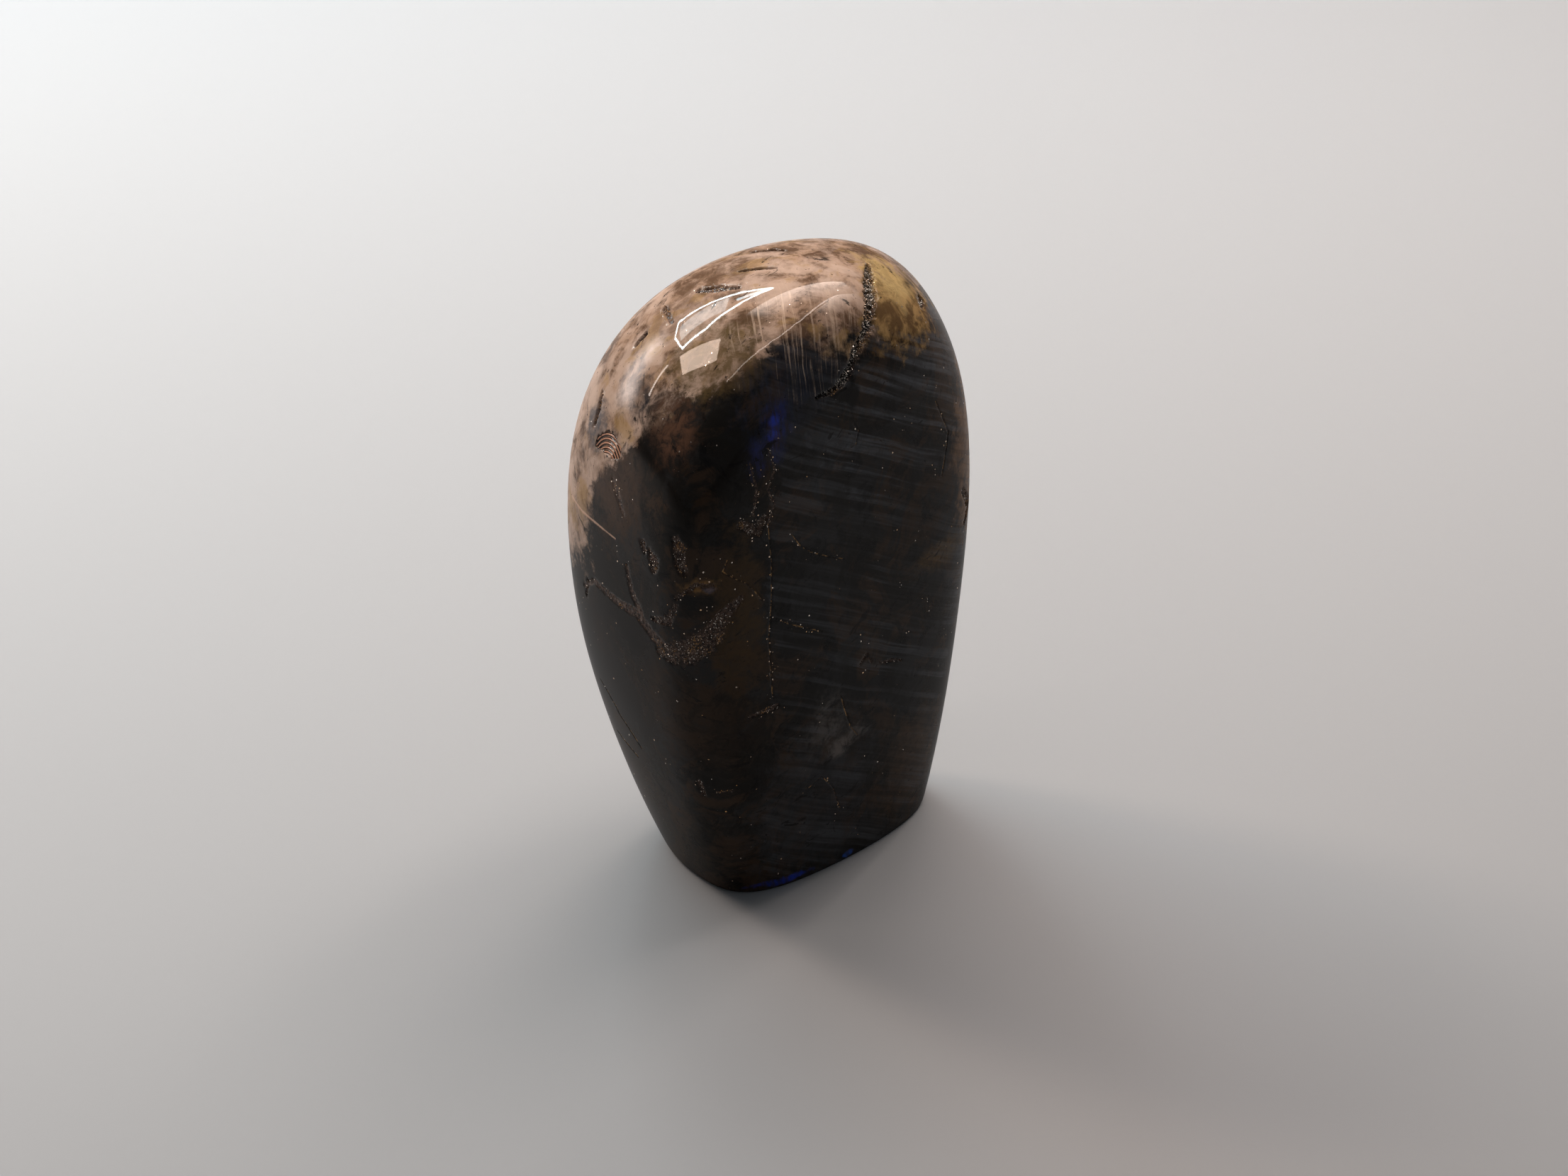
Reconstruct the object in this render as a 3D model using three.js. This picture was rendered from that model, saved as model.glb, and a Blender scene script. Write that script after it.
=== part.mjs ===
// A polished free-form labradorite that stands upright on its ground flat base.
//
// Millimetres, +Z up. The origin is on the table, under the middle of the stone's outer box.
// The best side looks toward -Y, and +X is to its right.
//
// The stone is one solid. Its body is a rounded block: a ball of directions around one centre,
// pushed out to the ground faces, whose meetings are softened by polishing. The base is cut
// flat, and natural flaws that the polish didn't reach are sunk into the skin.

import * as THREE from 'three';
import { mergeVertices } from 'three/addons/utils/BufferGeometryUtils.js';
import { SimplexNoise } from 'three/addons/math/SimplexNoise.js';

// Driving dimensions of the body

// The point inside the stone that every direction starts from.
const CENTRE = new THREE.Vector3(3.7, -1.2, 70);

// Each ground face: the way it looks, in degrees, and its distance from the centre.
// Azimuth 0 looks toward -Y and grows toward +X. Elevation 90 looks straight up.
const GROUND_FACES = {
  front: { azimuth: 44, elevation: -1, distance: 15.5 },
  frontTop: { azimuth: -8, elevation: 51, distance: 37 },
  frontUnder: { azimuth: 52, elevation: -18, distance: 44 },
  leftEnd: { azimuth: -53, elevation: 4, distance: 35.5 },
  leftShoulder: { azimuth: -81, elevation: 23, distance: 41 },
  leftSlope: { azimuth: -79, elevation: 56, distance: 34 },
  leftFlank: { azimuth: -79, elevation: -13, distance: 47 },
  leftUnder: { azimuth: -37, elevation: -21, distance: 48.7 },
  rightEnd: { azimuth: 111, elevation: 0, distance: 37 },
  rightShoulder: { azimuth: 81, elevation: 28, distance: 29.5 },
  rightTop: { azimuth: 87, elevation: 72, distance: 38 },
  rightFlank: { azimuth: 75, elevation: -8, distance: 45 },
  rightBack: { azimuth: 140, elevation: -11, distance: 45 },
  back: { azimuth: -154, elevation: 0, distance: 27 },
  backUnder: { azimuth: -150, elevation: -24, distance: 47 },
  crown: { azimuth: 180, elevation: 70, distance: 37 },
};

// How tightly the faces meet: a higher power leaves a narrower round between them.
const MEETING_POWER = 4.5;

// Half the height over which the wall rounds into the flat base.
const BASE_ROUND = 1.6;

// Driving dimensions of the flaws

// A flaw follows points on the skin, each with its azimuth, elevation and width there.
// Depth is below the polished skin. Rough is the share of the depth that its floor varies by.
// Negative depth stands proud: it is a soft ridge that the polishing left.
const FLAWS = {
  openFissure: {
    depth: 1.7, rough: 0.3,
    path: [
      [128, 62, 0.5], [117, 65, 1.2], [91, 67, 1.8], [78, 66, 1.9], [62, 62, 1.8], [54, 60, 1.4],
      [42, 57, 1.3], [36, 53, 1.4], [30, 50, 1.5], [23, 47, 1.0], [11, 44, 0.5],
    ],
  },
  unpolishedBand: {
    depth: 0.55, rough: 0.5,
    path: [
      [-78, -31, 0.8], [-71, -28, 1.2], [-57, -29, 1.5], [-48, -28, 1.8], [-42, -30, 2.2],
      [-36, -31, 2.8], [-29, -30, 4.4], [-23, -29, 4.4], [-20, -25, 2.4], [-16, -22, 1.0],
    ],
  },
  bandBranch: { depth: 0.45, rough: 0.5, path: [[-52, -17, 0.8], [-50, -23, 1.2], [-46, -27, 1.5]] },
  leftPit: { depth: 0.7, rough: 0.4, path: [[-45, -8, 1.3]] },
  middlePit: { depth: 0.8, rough: 0.5, path: [[-40, -8, 2.0], [-37, -11, 1.8]] },
  goldPit: { depth: 0.8, rough: 0.4, path: [[-31, -3, 1.7], [-30, -9, 1.1]] },
  crossingPatch: { depth: 0.5, rough: 0.6, path: [[-16, 2, 1.6], [-12, -2, 2.6], [-10, 2, 1.6]] },
  ripplePatch: { depth: 0.4, rough: 0.6, path: [[-77, 13, 2.4], [-70, 11, 3.4], [-60, 9, 2.0]] },
  shoulderPit: { depth: 0.7, rough: 0.4, path: [[-85, 42, 1.2], [-84, 38, 0.9]] },
  slopePit: { depth: 0.6, rough: 0.4, path: [[-93, 50, 1.4], [-78, 51, 0.8]] },
  slopePatch: { depth: 0.7, rough: 0.6, path: [[-95, 61, 1.2], [-86, 68, 2.0], [-76, 73, 0.8]] },
  crownSlit: { depth: 0.9, rough: 0.4, path: [[-112, 73, 0.7], [-118, 78, 1.1], [-127, 83, 0.6]] },
  backSlit: { depth: 0.8, rough: 0.4, path: [[-150, 66, 0.7], [-162, 69, 1.2], [-172, 72, 0.6]] },
  cornerPit: { depth: 1.0, rough: 0.5, path: [[113, 44, 1.1], [119, 42, 2.0]] },
  topRidge: {
    depth: -0.35, rough: 0,
    path: [[-25, 42, 2], [-20, 53, 4], [-5, 61, 5], [14, 69, 5], [68, 74, 4], [80, 73, 2]],
  },
  backFissure: {
    depth: 1.4, rough: 0.3,
    path: [
      [-150, 38, 0.5], [-156, 26, 1.1], [-153, 12, 1.6], [-160, -2, 1.7], [-157, -16, 1.2],
      [-163, -28, 1.4], [-160, -38, 0.6],
    ],
  },
  backHollow: { depth: 1.0, rough: 0.6, path: [[172, -34, 3.2], [166, -40, 5.5], [158, -43, 3.0]] },
  backBranch: { depth: 0.6, rough: 0.5, path: [[-160, -2, 0.9], [-172, -8, 1.2], [178, -18, 0.7]] },
  rightPit: { depth: 0.8, rough: 0.5, path: [[108, -22, 1.2], [113, -27, 2.2], [110, -31, 0.9]] },
};

// The share of a flaw's half width that lies at full depth, before its wall rises.
const FLAT_FLOOR_SHARE = 0.35;

// The grain of the flaws' edges and floors.
const GRAIN = { size: 0.9, edgeShare: 0.22, seed: 11 };

// Mesh sizes

const BALL_DETAIL = 9;
const LONGEST_EDGE = { onTheBody: 4.2, onTheBase: 9, inTheFinestFlaw: 1, shareOfAFlaw: 0.65 };
const FLAW_MARGIN = 0.15;
const MOST_HALVINGS = 16;

// The look of the solid

const STONE_COLOUR = 0x3f3833;
const STONE_ROUGHNESS = 0.18;

// Directions and the body's skin

function direction(azimuth, elevation) {
  const turn = THREE.MathUtils.degToRad(azimuth);
  const rise = THREE.MathUtils.degToRad(elevation);
  return new THREE.Vector3(
    Math.sin(turn) * Math.cos(rise),
    -Math.cos(turn) * Math.cos(rise),
    Math.sin(rise),
  );
}

const faces = Object.values(GROUND_FACES).map((face) => ({
  normal: direction(face.azimuth, face.elevation),
  distance: face.distance,
}));

// The point where a ray from the centre leaves the body, before the base is cut.
function skinPoint(ray) {
  let sum = 0;
  for (const face of faces) {
    const reach = Math.max(0, face.normal.dot(ray)) / face.distance;
    sum += reach ** MEETING_POWER;
  }
  return ray.clone().multiplyScalar(sum ** (-1 / MEETING_POWER)).add(CENTRE);
}

// The way the skin looks at a point on that ray.
function skinNormal(ray) {
  const normal = new THREE.Vector3();
  for (const face of faces) {
    const reach = Math.max(0, face.normal.dot(ray)) / face.distance;
    normal.addScaledVector(face.normal, reach ** (MEETING_POWER - 1) / face.distance);
  }
  return normal.normalize();
}

// The height after the base is cut, with the wall rounded into it.
function cutHeight(height) {
  if (height <= -BASE_ROUND) {
    return 0;
  }
  if (height >= BASE_ROUND) {
    return height;
  }
  return (height + BASE_ROUND) ** 2 / (4 * BASE_ROUND);
}

// The flaws, as short straight runs with a width at each end

function flawRuns(flaw) {
  const stops = flaw.path.map(([azimuth, elevation, width]) => ({
    point: skinPoint(direction(azimuth, elevation)),
    halfWidth: width / 2,
  }));
  const starts = stops.length > 1 ? stops.slice(0, -1) : stops;
  return starts.map((start, index) => {
    const end = stops[index + 1] ?? start;
    return {
      line: new THREE.Line3(start.point, end.point),
      startHalfWidth: start.halfWidth,
      endHalfWidth: end.halfWidth,
    };
  });
}

const flaws = Object.values(FLAWS).map((flaw) => ({ ...flaw, runs: flawRuns(flaw) }));

THREE.MathUtils.seededRandom(GRAIN.seed);
const noise = new SimplexNoise({ random: () => THREE.MathUtils.seededRandom() });

function grain(point) {
  return noise.noise3d(point.x / GRAIN.size, point.y / GRAIN.size, point.z / GRAIN.size);
}

// How far a point lies from a run, and the run's half width beside it.
function beside(run, point) {
  const { line, startHalfWidth, endHalfWidth } = run;
  const share = line.distance() > 0 ? line.closestPointToPointParameter(point, true) : 0;
  const distance = line.at(share, new THREE.Vector3()).distanceTo(point);
  return { distance, halfWidth: THREE.MathUtils.lerp(startHalfWidth, endHalfWidth, share) };
}

// The depth of all flaws together at a point on the skin.
function flawDepth(point) {
  const speck = grain(point);
  let sunk = 0;
  let proud = 0;
  for (const flaw of flaws) {
    for (const run of flaw.runs) {
      const { distance, halfWidth } = beside(run, point);
      const ragged = halfWidth * (1 + GRAIN.edgeShare * speck);
      const wall = 1 - THREE.MathUtils.smoothstep(distance, FLAT_FLOOR_SHARE * ragged, ragged);
      const depth = flaw.depth * wall * (1 - flaw.rough * (0.5 + 0.5 * speck));
      sunk = Math.max(sunk, depth);
      proud = Math.min(proud, depth);
    }
  }
  return sunk + proud;
}

// The longest edge that the mesh may have at a point on the skin: finer in narrower flaws.
function longestEdge(point) {
  let longest = point.z < -BASE_ROUND ? LONGEST_EDGE.onTheBase : LONGEST_EDGE.onTheBody;
  for (const run of flaws.filter((flaw) => flaw.depth > 0).flatMap((flaw) => flaw.runs)) {
    const { distance, halfWidth } = beside(run, point);
    if (distance < halfWidth + FLAW_MARGIN) {
      const inFlaw = LONGEST_EDGE.shareOfAFlaw * 2 * halfWidth;
      longest = Math.min(longest, Math.max(inFlaw, LONGEST_EDGE.inTheFinestFlaw));
    }
  }
  return longest;
}

// The mesh: a ball of directions whose triangles are halved until each is small enough

function ballOfDirections() {
  const ball = new THREE.IcosahedronGeometry(1, BALL_DETAIL);
  ball.deleteAttribute('normal');
  ball.deleteAttribute('uv');
  const merged = mergeVertices(ball);
  const position = merged.getAttribute('position');
  const rays = Array.from({ length: position.count }, (_, index) => (
    new THREE.Vector3().fromBufferAttribute(position, index).normalize()));
  const corners = Array.from(merged.getIndex().array);
  const triangles = Array.from({ length: corners.length / 3 }, (_, index) => (
    corners.slice(3 * index, 3 * index + 3)));
  return { rays, points: rays.map(skinPoint), triangles };
}

function edgeName(start, end) {
  return start < end ? `${start} ${end}` : `${end} ${start}`;
}

// Turns a triangle so that its longest edge runs from its first corner to its second.
function longestFirst(corners, points) {
  const lengths = corners.map((corner, index) => (
    points[corner].distanceTo(points[corners[(index + 1) % 3]])));
  const first = lengths.indexOf(Math.max(...lengths));
  return [0, 1, 2].map((step) => corners[(first + step) % 3]);
}

function isTooLarge([a, b, c], points) {
  const middle = points[a].clone().add(points[b]).add(points[c]).divideScalar(3);
  return points[a].distanceTo(points[b]) > longestEdge(middle);
}

// Names the edges to halve: the longest of each large triangle, and then the longest of each
// triangle that has one named already, because halving only a short edge leaves a sliver.
function edgesToHalve({ points, triangles }) {
  const named = new Set();
  for (const corners of triangles) {
    if (isTooLarge(corners, points)) {
      named.add(edgeName(corners[0], corners[1]));
    }
  }
  let before = -1;
  while (named.size > before) {
    before = named.size;
    for (const [a, b, c] of triangles) {
      if (named.has(edgeName(b, c)) || named.has(edgeName(c, a))) {
        named.add(edgeName(a, b));
      }
    }
  }
  return named;
}

// Cuts a triangle at the middles of its named edges, from the middle of its longest one.
function cutTriangle([a, b, c], middles) {
  const [ab, bc, ca] = [edgeName(a, b), edgeName(b, c), edgeName(c, a)].map((name) => (
    middles.get(name)));
  if (ab === undefined) {
    return [[a, b, c]];
  }
  const near = bc === undefined ? [[ab, b, c]] : [[ab, b, bc], [ab, bc, c]];
  const far = ca === undefined ? [[a, ab, c]] : [[a, ab, ca], [ab, c, ca]];
  return [...near, ...far];
}

// Halves the large triangles of the whole mesh once, and says whether there were any.
function halveLargeTriangles(mesh) {
  const middles = new Map();
  for (const name of edgesToHalve(mesh)) {
    const [start, end] = name.split(' ').map((index) => mesh.points[index]);
    const ray = start.clone().lerp(end, 0.5).sub(CENTRE).normalize();
    middles.set(name, mesh.rays.push(ray) - 1);
    mesh.points.push(skinPoint(ray));
  }
  mesh.triangles = mesh.triangles
    .flatMap((corners) => cutTriangle(corners, middles))
    .map((corners) => longestFirst(corners, mesh.points));
  return middles.size > 0;
}

function stoneGeometry() {
  const mesh = ballOfDirections();
  mesh.triangles = mesh.triangles.map((corners) => longestFirst(corners, mesh.points));
  for (let round = 0; round < MOST_HALVINGS && halveLargeTriangles(mesh); round += 1);
  const points = mesh.points.flatMap((skin, index) => {
    const normal = skinNormal(mesh.rays[index]);
    const point = skin.clone().addScaledVector(normal, -flawDepth(skin));
    return [point.x, point.y, cutHeight(point.z)];
  });
  const geometry = new THREE.BufferGeometry();
  geometry.setAttribute('position', new THREE.Float32BufferAttribute(points, 3));
  geometry.setIndex(mesh.triangles.flat());
  geometry.computeVertexNormals();
  return geometry;
}

const stone = new THREE.Mesh(stoneGeometry(), new THREE.MeshStandardMaterial({
  color: STONE_COLOUR,
  roughness: STONE_ROUGHNESS,
  metalness: 0,
}));
stone.name = 'labradorite';

const part = new THREE.Group();
part.add(stone);

export default part;
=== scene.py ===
import logging
import math
from dataclasses import dataclass, field, fields
from enum import Enum

import bmesh
import bpy
import numpy as np
from mathutils import Matrix, Vector, noise


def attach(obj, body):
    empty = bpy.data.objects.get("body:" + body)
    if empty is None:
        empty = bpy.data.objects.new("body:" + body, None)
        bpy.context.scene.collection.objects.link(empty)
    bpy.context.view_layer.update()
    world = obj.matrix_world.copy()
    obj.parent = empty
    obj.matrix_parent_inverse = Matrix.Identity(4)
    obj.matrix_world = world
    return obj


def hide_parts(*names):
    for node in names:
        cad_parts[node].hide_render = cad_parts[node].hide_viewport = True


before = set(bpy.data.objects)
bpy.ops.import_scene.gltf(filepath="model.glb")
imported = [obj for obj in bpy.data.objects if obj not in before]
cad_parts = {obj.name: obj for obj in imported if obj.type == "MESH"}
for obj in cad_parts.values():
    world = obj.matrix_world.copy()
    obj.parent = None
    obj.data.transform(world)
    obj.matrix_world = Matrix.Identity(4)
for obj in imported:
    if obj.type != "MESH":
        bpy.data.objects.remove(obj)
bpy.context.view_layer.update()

# A polished labradorite free-form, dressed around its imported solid.
# Sizes are in millimetres until a mesh is made, and in metres from there on.

LOG = logging.getLogger("labradorite")
MM = 0.001
BODY = "root"
NODE = "labradorite"

Triple = tuple[float, float, float]
Pair = tuple[float, float]


class FlawKind(Enum):
    """What a natural flaw in the polished skin looks like, and the painted highlight line."""

    # Its dark walls come from painted shade laid by depth in the finish.
    FISSURE = "deep and open, with stepped dark walls"
    UNPOLISHED = "shallow and crystalline, where the polish never reached"
    CRACK = "a hairline with glints along it"
    RIPPLE = "a shallow patch of curved parallel ridges"
    # Painted highlight: a pale line along the edge of a lamp's reflection, over a shallow groove.
    PAINTED_HIGHLIGHT_LINE = "a pale healed line"


def unit(azimuth: float, elevation: float) -> np.ndarray:
    """Return the direction that looks a given way.

    Args:
        azimuth: Degrees from -Y, growing toward +X.
        elevation: Degrees above level.

    Returns:
        The unit vector.
    """
    turn, rise = math.radians(azimuth), math.radians(elevation)
    return np.array([
        math.sin(turn) * math.cos(rise),
        -math.cos(turn) * math.cos(rise),
        math.sin(rise),
    ])


def smooth(share: np.ndarray) -> np.ndarray:
    """Return an S-shaped step from 0 to 1 of each share, clipped outside."""
    held = np.clip(share, 0.0, 1.0)
    return held * held * (3.0 - 2.0 * held)


@dataclass(frozen=True)
class GroundFace:
    """One face that grinding left: the way it looks, and its distance from the centre."""

    azimuth: float
    elevation: float
    distance: float


@dataclass(frozen=True)
class Wave:
    """One gentle undulation of hand polishing: its direction, length and height."""

    azimuth: float
    elevation: float
    length: float
    height: float
    start: float = 0.0


@dataclass(frozen=True)
class Skin:
    """The stone's polished skin: ground faces around a centre, and a base cut flat."""

    centre: Triple = (3.7, -1.2, 70.0)
    faces: tuple[GroundFace, ...] = (
        GroundFace(44, -1, 15.5),
        GroundFace(-8, 51, 37),
        GroundFace(52, -18, 44),
        GroundFace(-53, 4, 35.5),
        GroundFace(-81, 23, 41),
        GroundFace(-79, 56, 34),
        GroundFace(-79, -13, 47),
        GroundFace(-37, -21, 48.7),
        GroundFace(111, 0, 37),
        GroundFace(81, 28, 29.5),
        GroundFace(87, 72, 38),
        GroundFace(75, -8, 45),
        GroundFace(140, -11, 45),
        GroundFace(-154, 0, 27),
        GroundFace(-150, -24, 47),
        GroundFace(180, 70, 37),
    )
    meeting_power: float = 4.5
    base_round: float = 1.6
    waves: tuple[Wave, ...] = (
        Wave(20, 30, 23, 0.03),
        Wave(-70, 15, 17, 0.02, 1.0),
        Wave(100, -40, 29, 0.03, 2.0),
    )

    def points(self, rays: np.ndarray) -> np.ndarray:
        """Return where rays from the centre leave the body, before the base is cut.

        Args:
            rays: Unit vectors, one a row.

        Returns:
            The points, one a row.
        """
        total = np.zeros(len(rays))
        for face in self.faces:
            reach = np.maximum(rays @ unit(face.azimuth, face.elevation), 0.0) / face.distance
            total += reach ** self.meeting_power
        return rays * (total ** (-1.0 / self.meeting_power))[:, None] + np.array(self.centre)

    def normals(self, rays: np.ndarray) -> np.ndarray:
        """Return the way the skin looks at the end of each ray.

        Args:
            rays: Unit vectors, one a row.

        Returns:
            Unit vectors, one a row.
        """
        total = np.zeros_like(rays)
        for face in self.faces:
            way = unit(face.azimuth, face.elevation)
            reach = np.maximum(rays @ way, 0.0) / face.distance
            total += (reach ** (self.meeting_power - 1.0) / face.distance)[:, None] * way
        return total / np.linalg.norm(total, axis=1, keepdims=True)

    def swell(self, points: np.ndarray) -> np.ndarray:
        """Return how far the polishing undulations lift each point."""
        lift = np.zeros(len(points))
        for wave in self.waves:
            phase = points @ unit(wave.azimuth, wave.elevation) / wave.length + wave.start
            lift += wave.height * np.sin(2.0 * math.pi * phase)
        return lift

    def cut(self, heights: np.ndarray) -> np.ndarray:
        """Return the heights after the base is cut, with the wall rounded into it."""
        rounded = (heights + self.base_round) ** 2 / (4.0 * self.base_round)
        low = np.where(heights <= -self.base_round, 0.0, rounded)
        return np.where(heights >= self.base_round, heights, low)


@dataclass(frozen=True)
class Flaw:
    """A natural flaw that follows stops on the skin, each an azimuth, elevation and width.

    Grains and glints are how thickly crystal chips and bright flecks lie in it, from 0 to 1.
    """

    kind: FlawKind
    depth: float
    stops: tuple[Triple, ...]
    grains: float = 0.0
    glints: float = 0.0


@dataclass(frozen=True)
class Flaws:
    """All the flaws of the stone, with the sizes of their edges, facets and ripples."""

    seen: tuple[Flaw, ...] = (
        Flaw(FlawKind.FISSURE, 1.4, (
            (128, 62, 0.5), (117, 65, 1.2), (91, 67, 1.8), (78, 66, 1.9), (62, 62, 1.8),
            (54, 60, 1.4), (42, 57, 1.3), (36, 53, 1.4), (30, 50, 1.5), (23, 47, 1.0),
            (11, 44, 0.5)), grains=1.0, glints=0.7),
        Flaw(FlawKind.UNPOLISHED, 0.22, (
            (-78, -31, 0.8), (-71, -28, 1.2), (-57, -29, 1.6), (-48, -28, 2.0), (-42, -30, 2.4),
            (-36, -32, 2.8)), grains=0.12),
        Flaw(FlawKind.UNPOLISHED, 0.28, (
            (-38, -33, 2.4), (-33, -32, 4.6), (-27, -30, 5.2), (-23, -28, 4.8), (-20, -24, 3.0),
            (-16, -22, 1.2)), grains=0.7, glints=0.3),
        Flaw(FlawKind.UNPOLISHED, 0.2, ((-52, -17, 0.8), (-50, -23, 1.4), (-46, -27, 1.8)),
             grains=0.1),
        Flaw(FlawKind.UNPOLISHED, 0.35, ((-75, -29, 0.7), (-77, -33, 0.7)), grains=0.3),
        Flaw(FlawKind.UNPOLISHED, 0.35, ((-40, -26, 1.0), (-34, -24, 1.6), (-31, -19, 0.9)),
             grains=0.6),
        Flaw(FlawKind.UNPOLISHED, 0.3, ((-31, -17, 0.7), (-26, -13, 1.0), (-22, -14, 0.6)),
             grains=0.8, glints=0.4),
        Flaw(FlawKind.UNPOLISHED, 0.4, ((-44, -7, 1.5), (-43, -9, 1.2)), grains=0.9),
        Flaw(FlawKind.UNPOLISHED, 0.45, ((-41, -8, 1.2), (-39, -10, 2.6), (-39, -12, 2.2)),
             grains=1.0, glints=0.3),
        Flaw(FlawKind.UNPOLISHED, 0.45, (
            (-31, -1, 1.4), (-30, -3, 2.4), (-30, -6, 1.8), (-29, -9, 1.8)), grains=1.0,
             glints=0.4),
        Flaw(FlawKind.UNPOLISHED, 0.4, ((-16, 2, 1.4), (-12, -2, 2.4), (-10, 2, 1.4)),
             grains=1.0, glints=0.8),
        Flaw(FlawKind.RIPPLE, 0.22, ((-74, 10, 2.6), (-69, 12, 4.4), (-63, 12, 3.2))),
        Flaw(FlawKind.UNPOLISHED, 0.12, ((-62, 4, 0.8), (-57, 0, 1.6), (-54, -3, 0.7)),
             grains=0.2, glints=0.8),
        Flaw(FlawKind.UNPOLISHED, 0.5, ((-84, 21, 0.8), (-81, 17, 1.3), (-80, 13, 0.9)),
             grains=0.6),
        Flaw(FlawKind.UNPOLISHED, 0.7, ((-85, 42, 1.2), (-84, 38, 0.9)), grains=0.5),
        Flaw(FlawKind.UNPOLISHED, 0.6, ((-93, 50, 1.4), (-78, 51, 0.8)), grains=0.5),
        Flaw(FlawKind.UNPOLISHED, 0.6, ((-95, 61, 1.2), (-86, 68, 2.0), (-76, 73, 0.8)),
             grains=0.7, glints=0.5),
        Flaw(FlawKind.FISSURE, 0.9, ((-112, 73, 0.5), (-118, 78, 0.9), (-127, 83, 0.5)),
             grains=0.5),
        Flaw(FlawKind.FISSURE, 0.8, ((-150, 66, 0.5), (-162, 69, 1.0), (-172, 72, 0.5)),
             grains=0.4),
        Flaw(FlawKind.UNPOLISHED, 0.9, ((113, 44, 1.1), (119, 42, 2.0)), grains=1.0,
             glints=0.7),
        Flaw(FlawKind.UNPOLISHED, 0.35, ((-15, -52, 0.5), (-11, -54, 0.9), (-7, -56, 1.1)),
             grains=1.0, glints=0.7),
        Flaw(FlawKind.UNPOLISHED, 0.4, ((-30, -57, 1.0), (-29, -59, 0.8)), grains=1.0),
        Flaw(FlawKind.UNPOLISHED, 0.25, ((-25, -59, 0.4), (-21, -60, 0.5)), grains=1.0),
        Flaw(FlawKind.UNPOLISHED, 0.3, ((47, -66, 0.5), (52, -65, 0.7), (56, -66, 0.4)),
             grains=0.7),
        Flaw(FlawKind.UNPOLISHED, 0.3, ((64, -66, 0.4), (72, -65, 0.7), (80, -64, 0.4)),
             grains=0.7),
        Flaw(FlawKind.UNPOLISHED, 0.08, (
            (-9, 26, 0.3), (-7, 19, 0.5), (-9, 12, 0.4), (-7, 6, 0.5), (-9, -1, 0.3)),
             grains=0.3, glints=1.0),
        Flaw(FlawKind.CRACK, 0.1, ((-9, -1, 0.2), (-8, -17, 0.2)), glints=0.15),
        Flaw(FlawKind.CRACK, 0.14, (
            (-8, -17, 0.3), (-8, -29, 0.4), (-9, -40, 0.3), (-8, -54, 0.3)), glints=0.45),
        Flaw(FlawKind.UNPOLISHED, 0.08, (
            (-14, 21, 0.3), (-12, 12, 0.5), (-13, 4, 0.4), (-11, 0, 0.3)), grains=0.3,
             glints=1.0),
        Flaw(FlawKind.CRACK, 0.12, (
            (-1, -10, 0.3), (3, -18, 0.3), (8, -24, 0.3), (17, -31, 0.3), (30, -38, 0.3)),
            glints=0.6),
        Flaw(FlawKind.CRACK, 0.12, (
            (-5, -39, 0.3), (0, -44, 0.3), (5, -48, 0.3), (15, -54, 0.3)), glints=0.6),
        Flaw(FlawKind.CRACK, 0.14, (
            (-19, -8, 0.3), (-20, -11, 0.4), (-18, -14, 0.3), (-15, -18, 0.3), (-13, -22, 0.4),
            (-11, -27, 0.4)), glints=0.7),
        Flaw(FlawKind.CRACK, 0.12, ((30, -68, 0.3), (34, -70, 0.3), (40, -72, 0.3), (47, -73, 0.3))),
        Flaw(FlawKind.CRACK, 0.12, ((8, -72, 0.3), (17, -73, 0.3), (26, -75, 0.4), (34, -77, 0.3)),
             glints=0.4),
        Flaw(FlawKind.CRACK, 0.12, ((-76, -58, 0.3), (-70, -59, 0.3), (-63, -60, 0.3)), glints=0.5),
        Flaw(FlawKind.CRACK, 0.12, ((-70, -54, 0.3), (-64, -56, 0.3), (-58, -58, 0.3)), glints=0.4),
        Flaw(FlawKind.CRACK, 0.12, ((-78, -50, 0.3), (-73, -52, 0.3), (-69, -54, 0.3)), glints=0.3),
        Flaw(FlawKind.CRACK, 0.12, ((36, 34, 0.3), (40, 30, 0.4), (38, 24, 0.3)), glints=0.3),
        # Painted highlight: the pale line along the left shoulder, over a groove 0.05 mm deep.
        Flaw(FlawKind.PAINTED_HIGHLIGHT_LINE, 0.05, (
            (-90, -6, 0.3), (-86, -11, 0.5), (-78, -12, 0.6), (-68, -12, 0.5), (-58, -12, 0.3))),
    )
    hidden: tuple[Flaw, ...] = (
        Flaw(FlawKind.FISSURE, 1.4, (
            (-150, 38, 0.5), (-156, 26, 1.1), (-153, 12, 1.6), (-160, -2, 1.7), (-157, -16, 1.2),
            (-163, -28, 1.4), (-160, -38, 0.6)), grains=0.6, glints=0.5),
        Flaw(FlawKind.UNPOLISHED, 1.0, ((172, -34, 3.2), (166, -40, 5.5), (158, -43, 3.0)),
             grains=0.5, glints=0.3),
        Flaw(FlawKind.UNPOLISHED, 0.5, ((-160, -2, 0.9), (-172, -8, 1.2), (178, -18, 0.7)),
             grains=0.4),
        Flaw(FlawKind.UNPOLISHED, 0.8, ((108, -22, 1.2), (113, -27, 2.2), (110, -31, 0.9)),
             grains=0.8, glints=0.4),
        Flaw(FlawKind.CRACK, 0.14, (
            (150, 55, 0.3), (158, 40, 0.4), (154, 24, 0.3), (161, 6, 0.4), (157, -12, 0.3)),
            glints=0.7),
        Flaw(FlawKind.CRACK, 0.12, (
            (-120, 20, 0.3), (-126, 2, 0.4), (-122, -20, 0.3), (-128, -40, 0.3)), glints=0.6),
        Flaw(FlawKind.CRACK, 0.12, ((96, 18, 0.3), (101, 2, 0.4), (97, -14, 0.3)), glints=0.5),
        Flaw(FlawKind.CRACK, 0.12, ((-172, -50, 0.3), (-150, -56, 0.4), (-130, -60, 0.3)),
             glints=0.5),
    )
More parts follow.
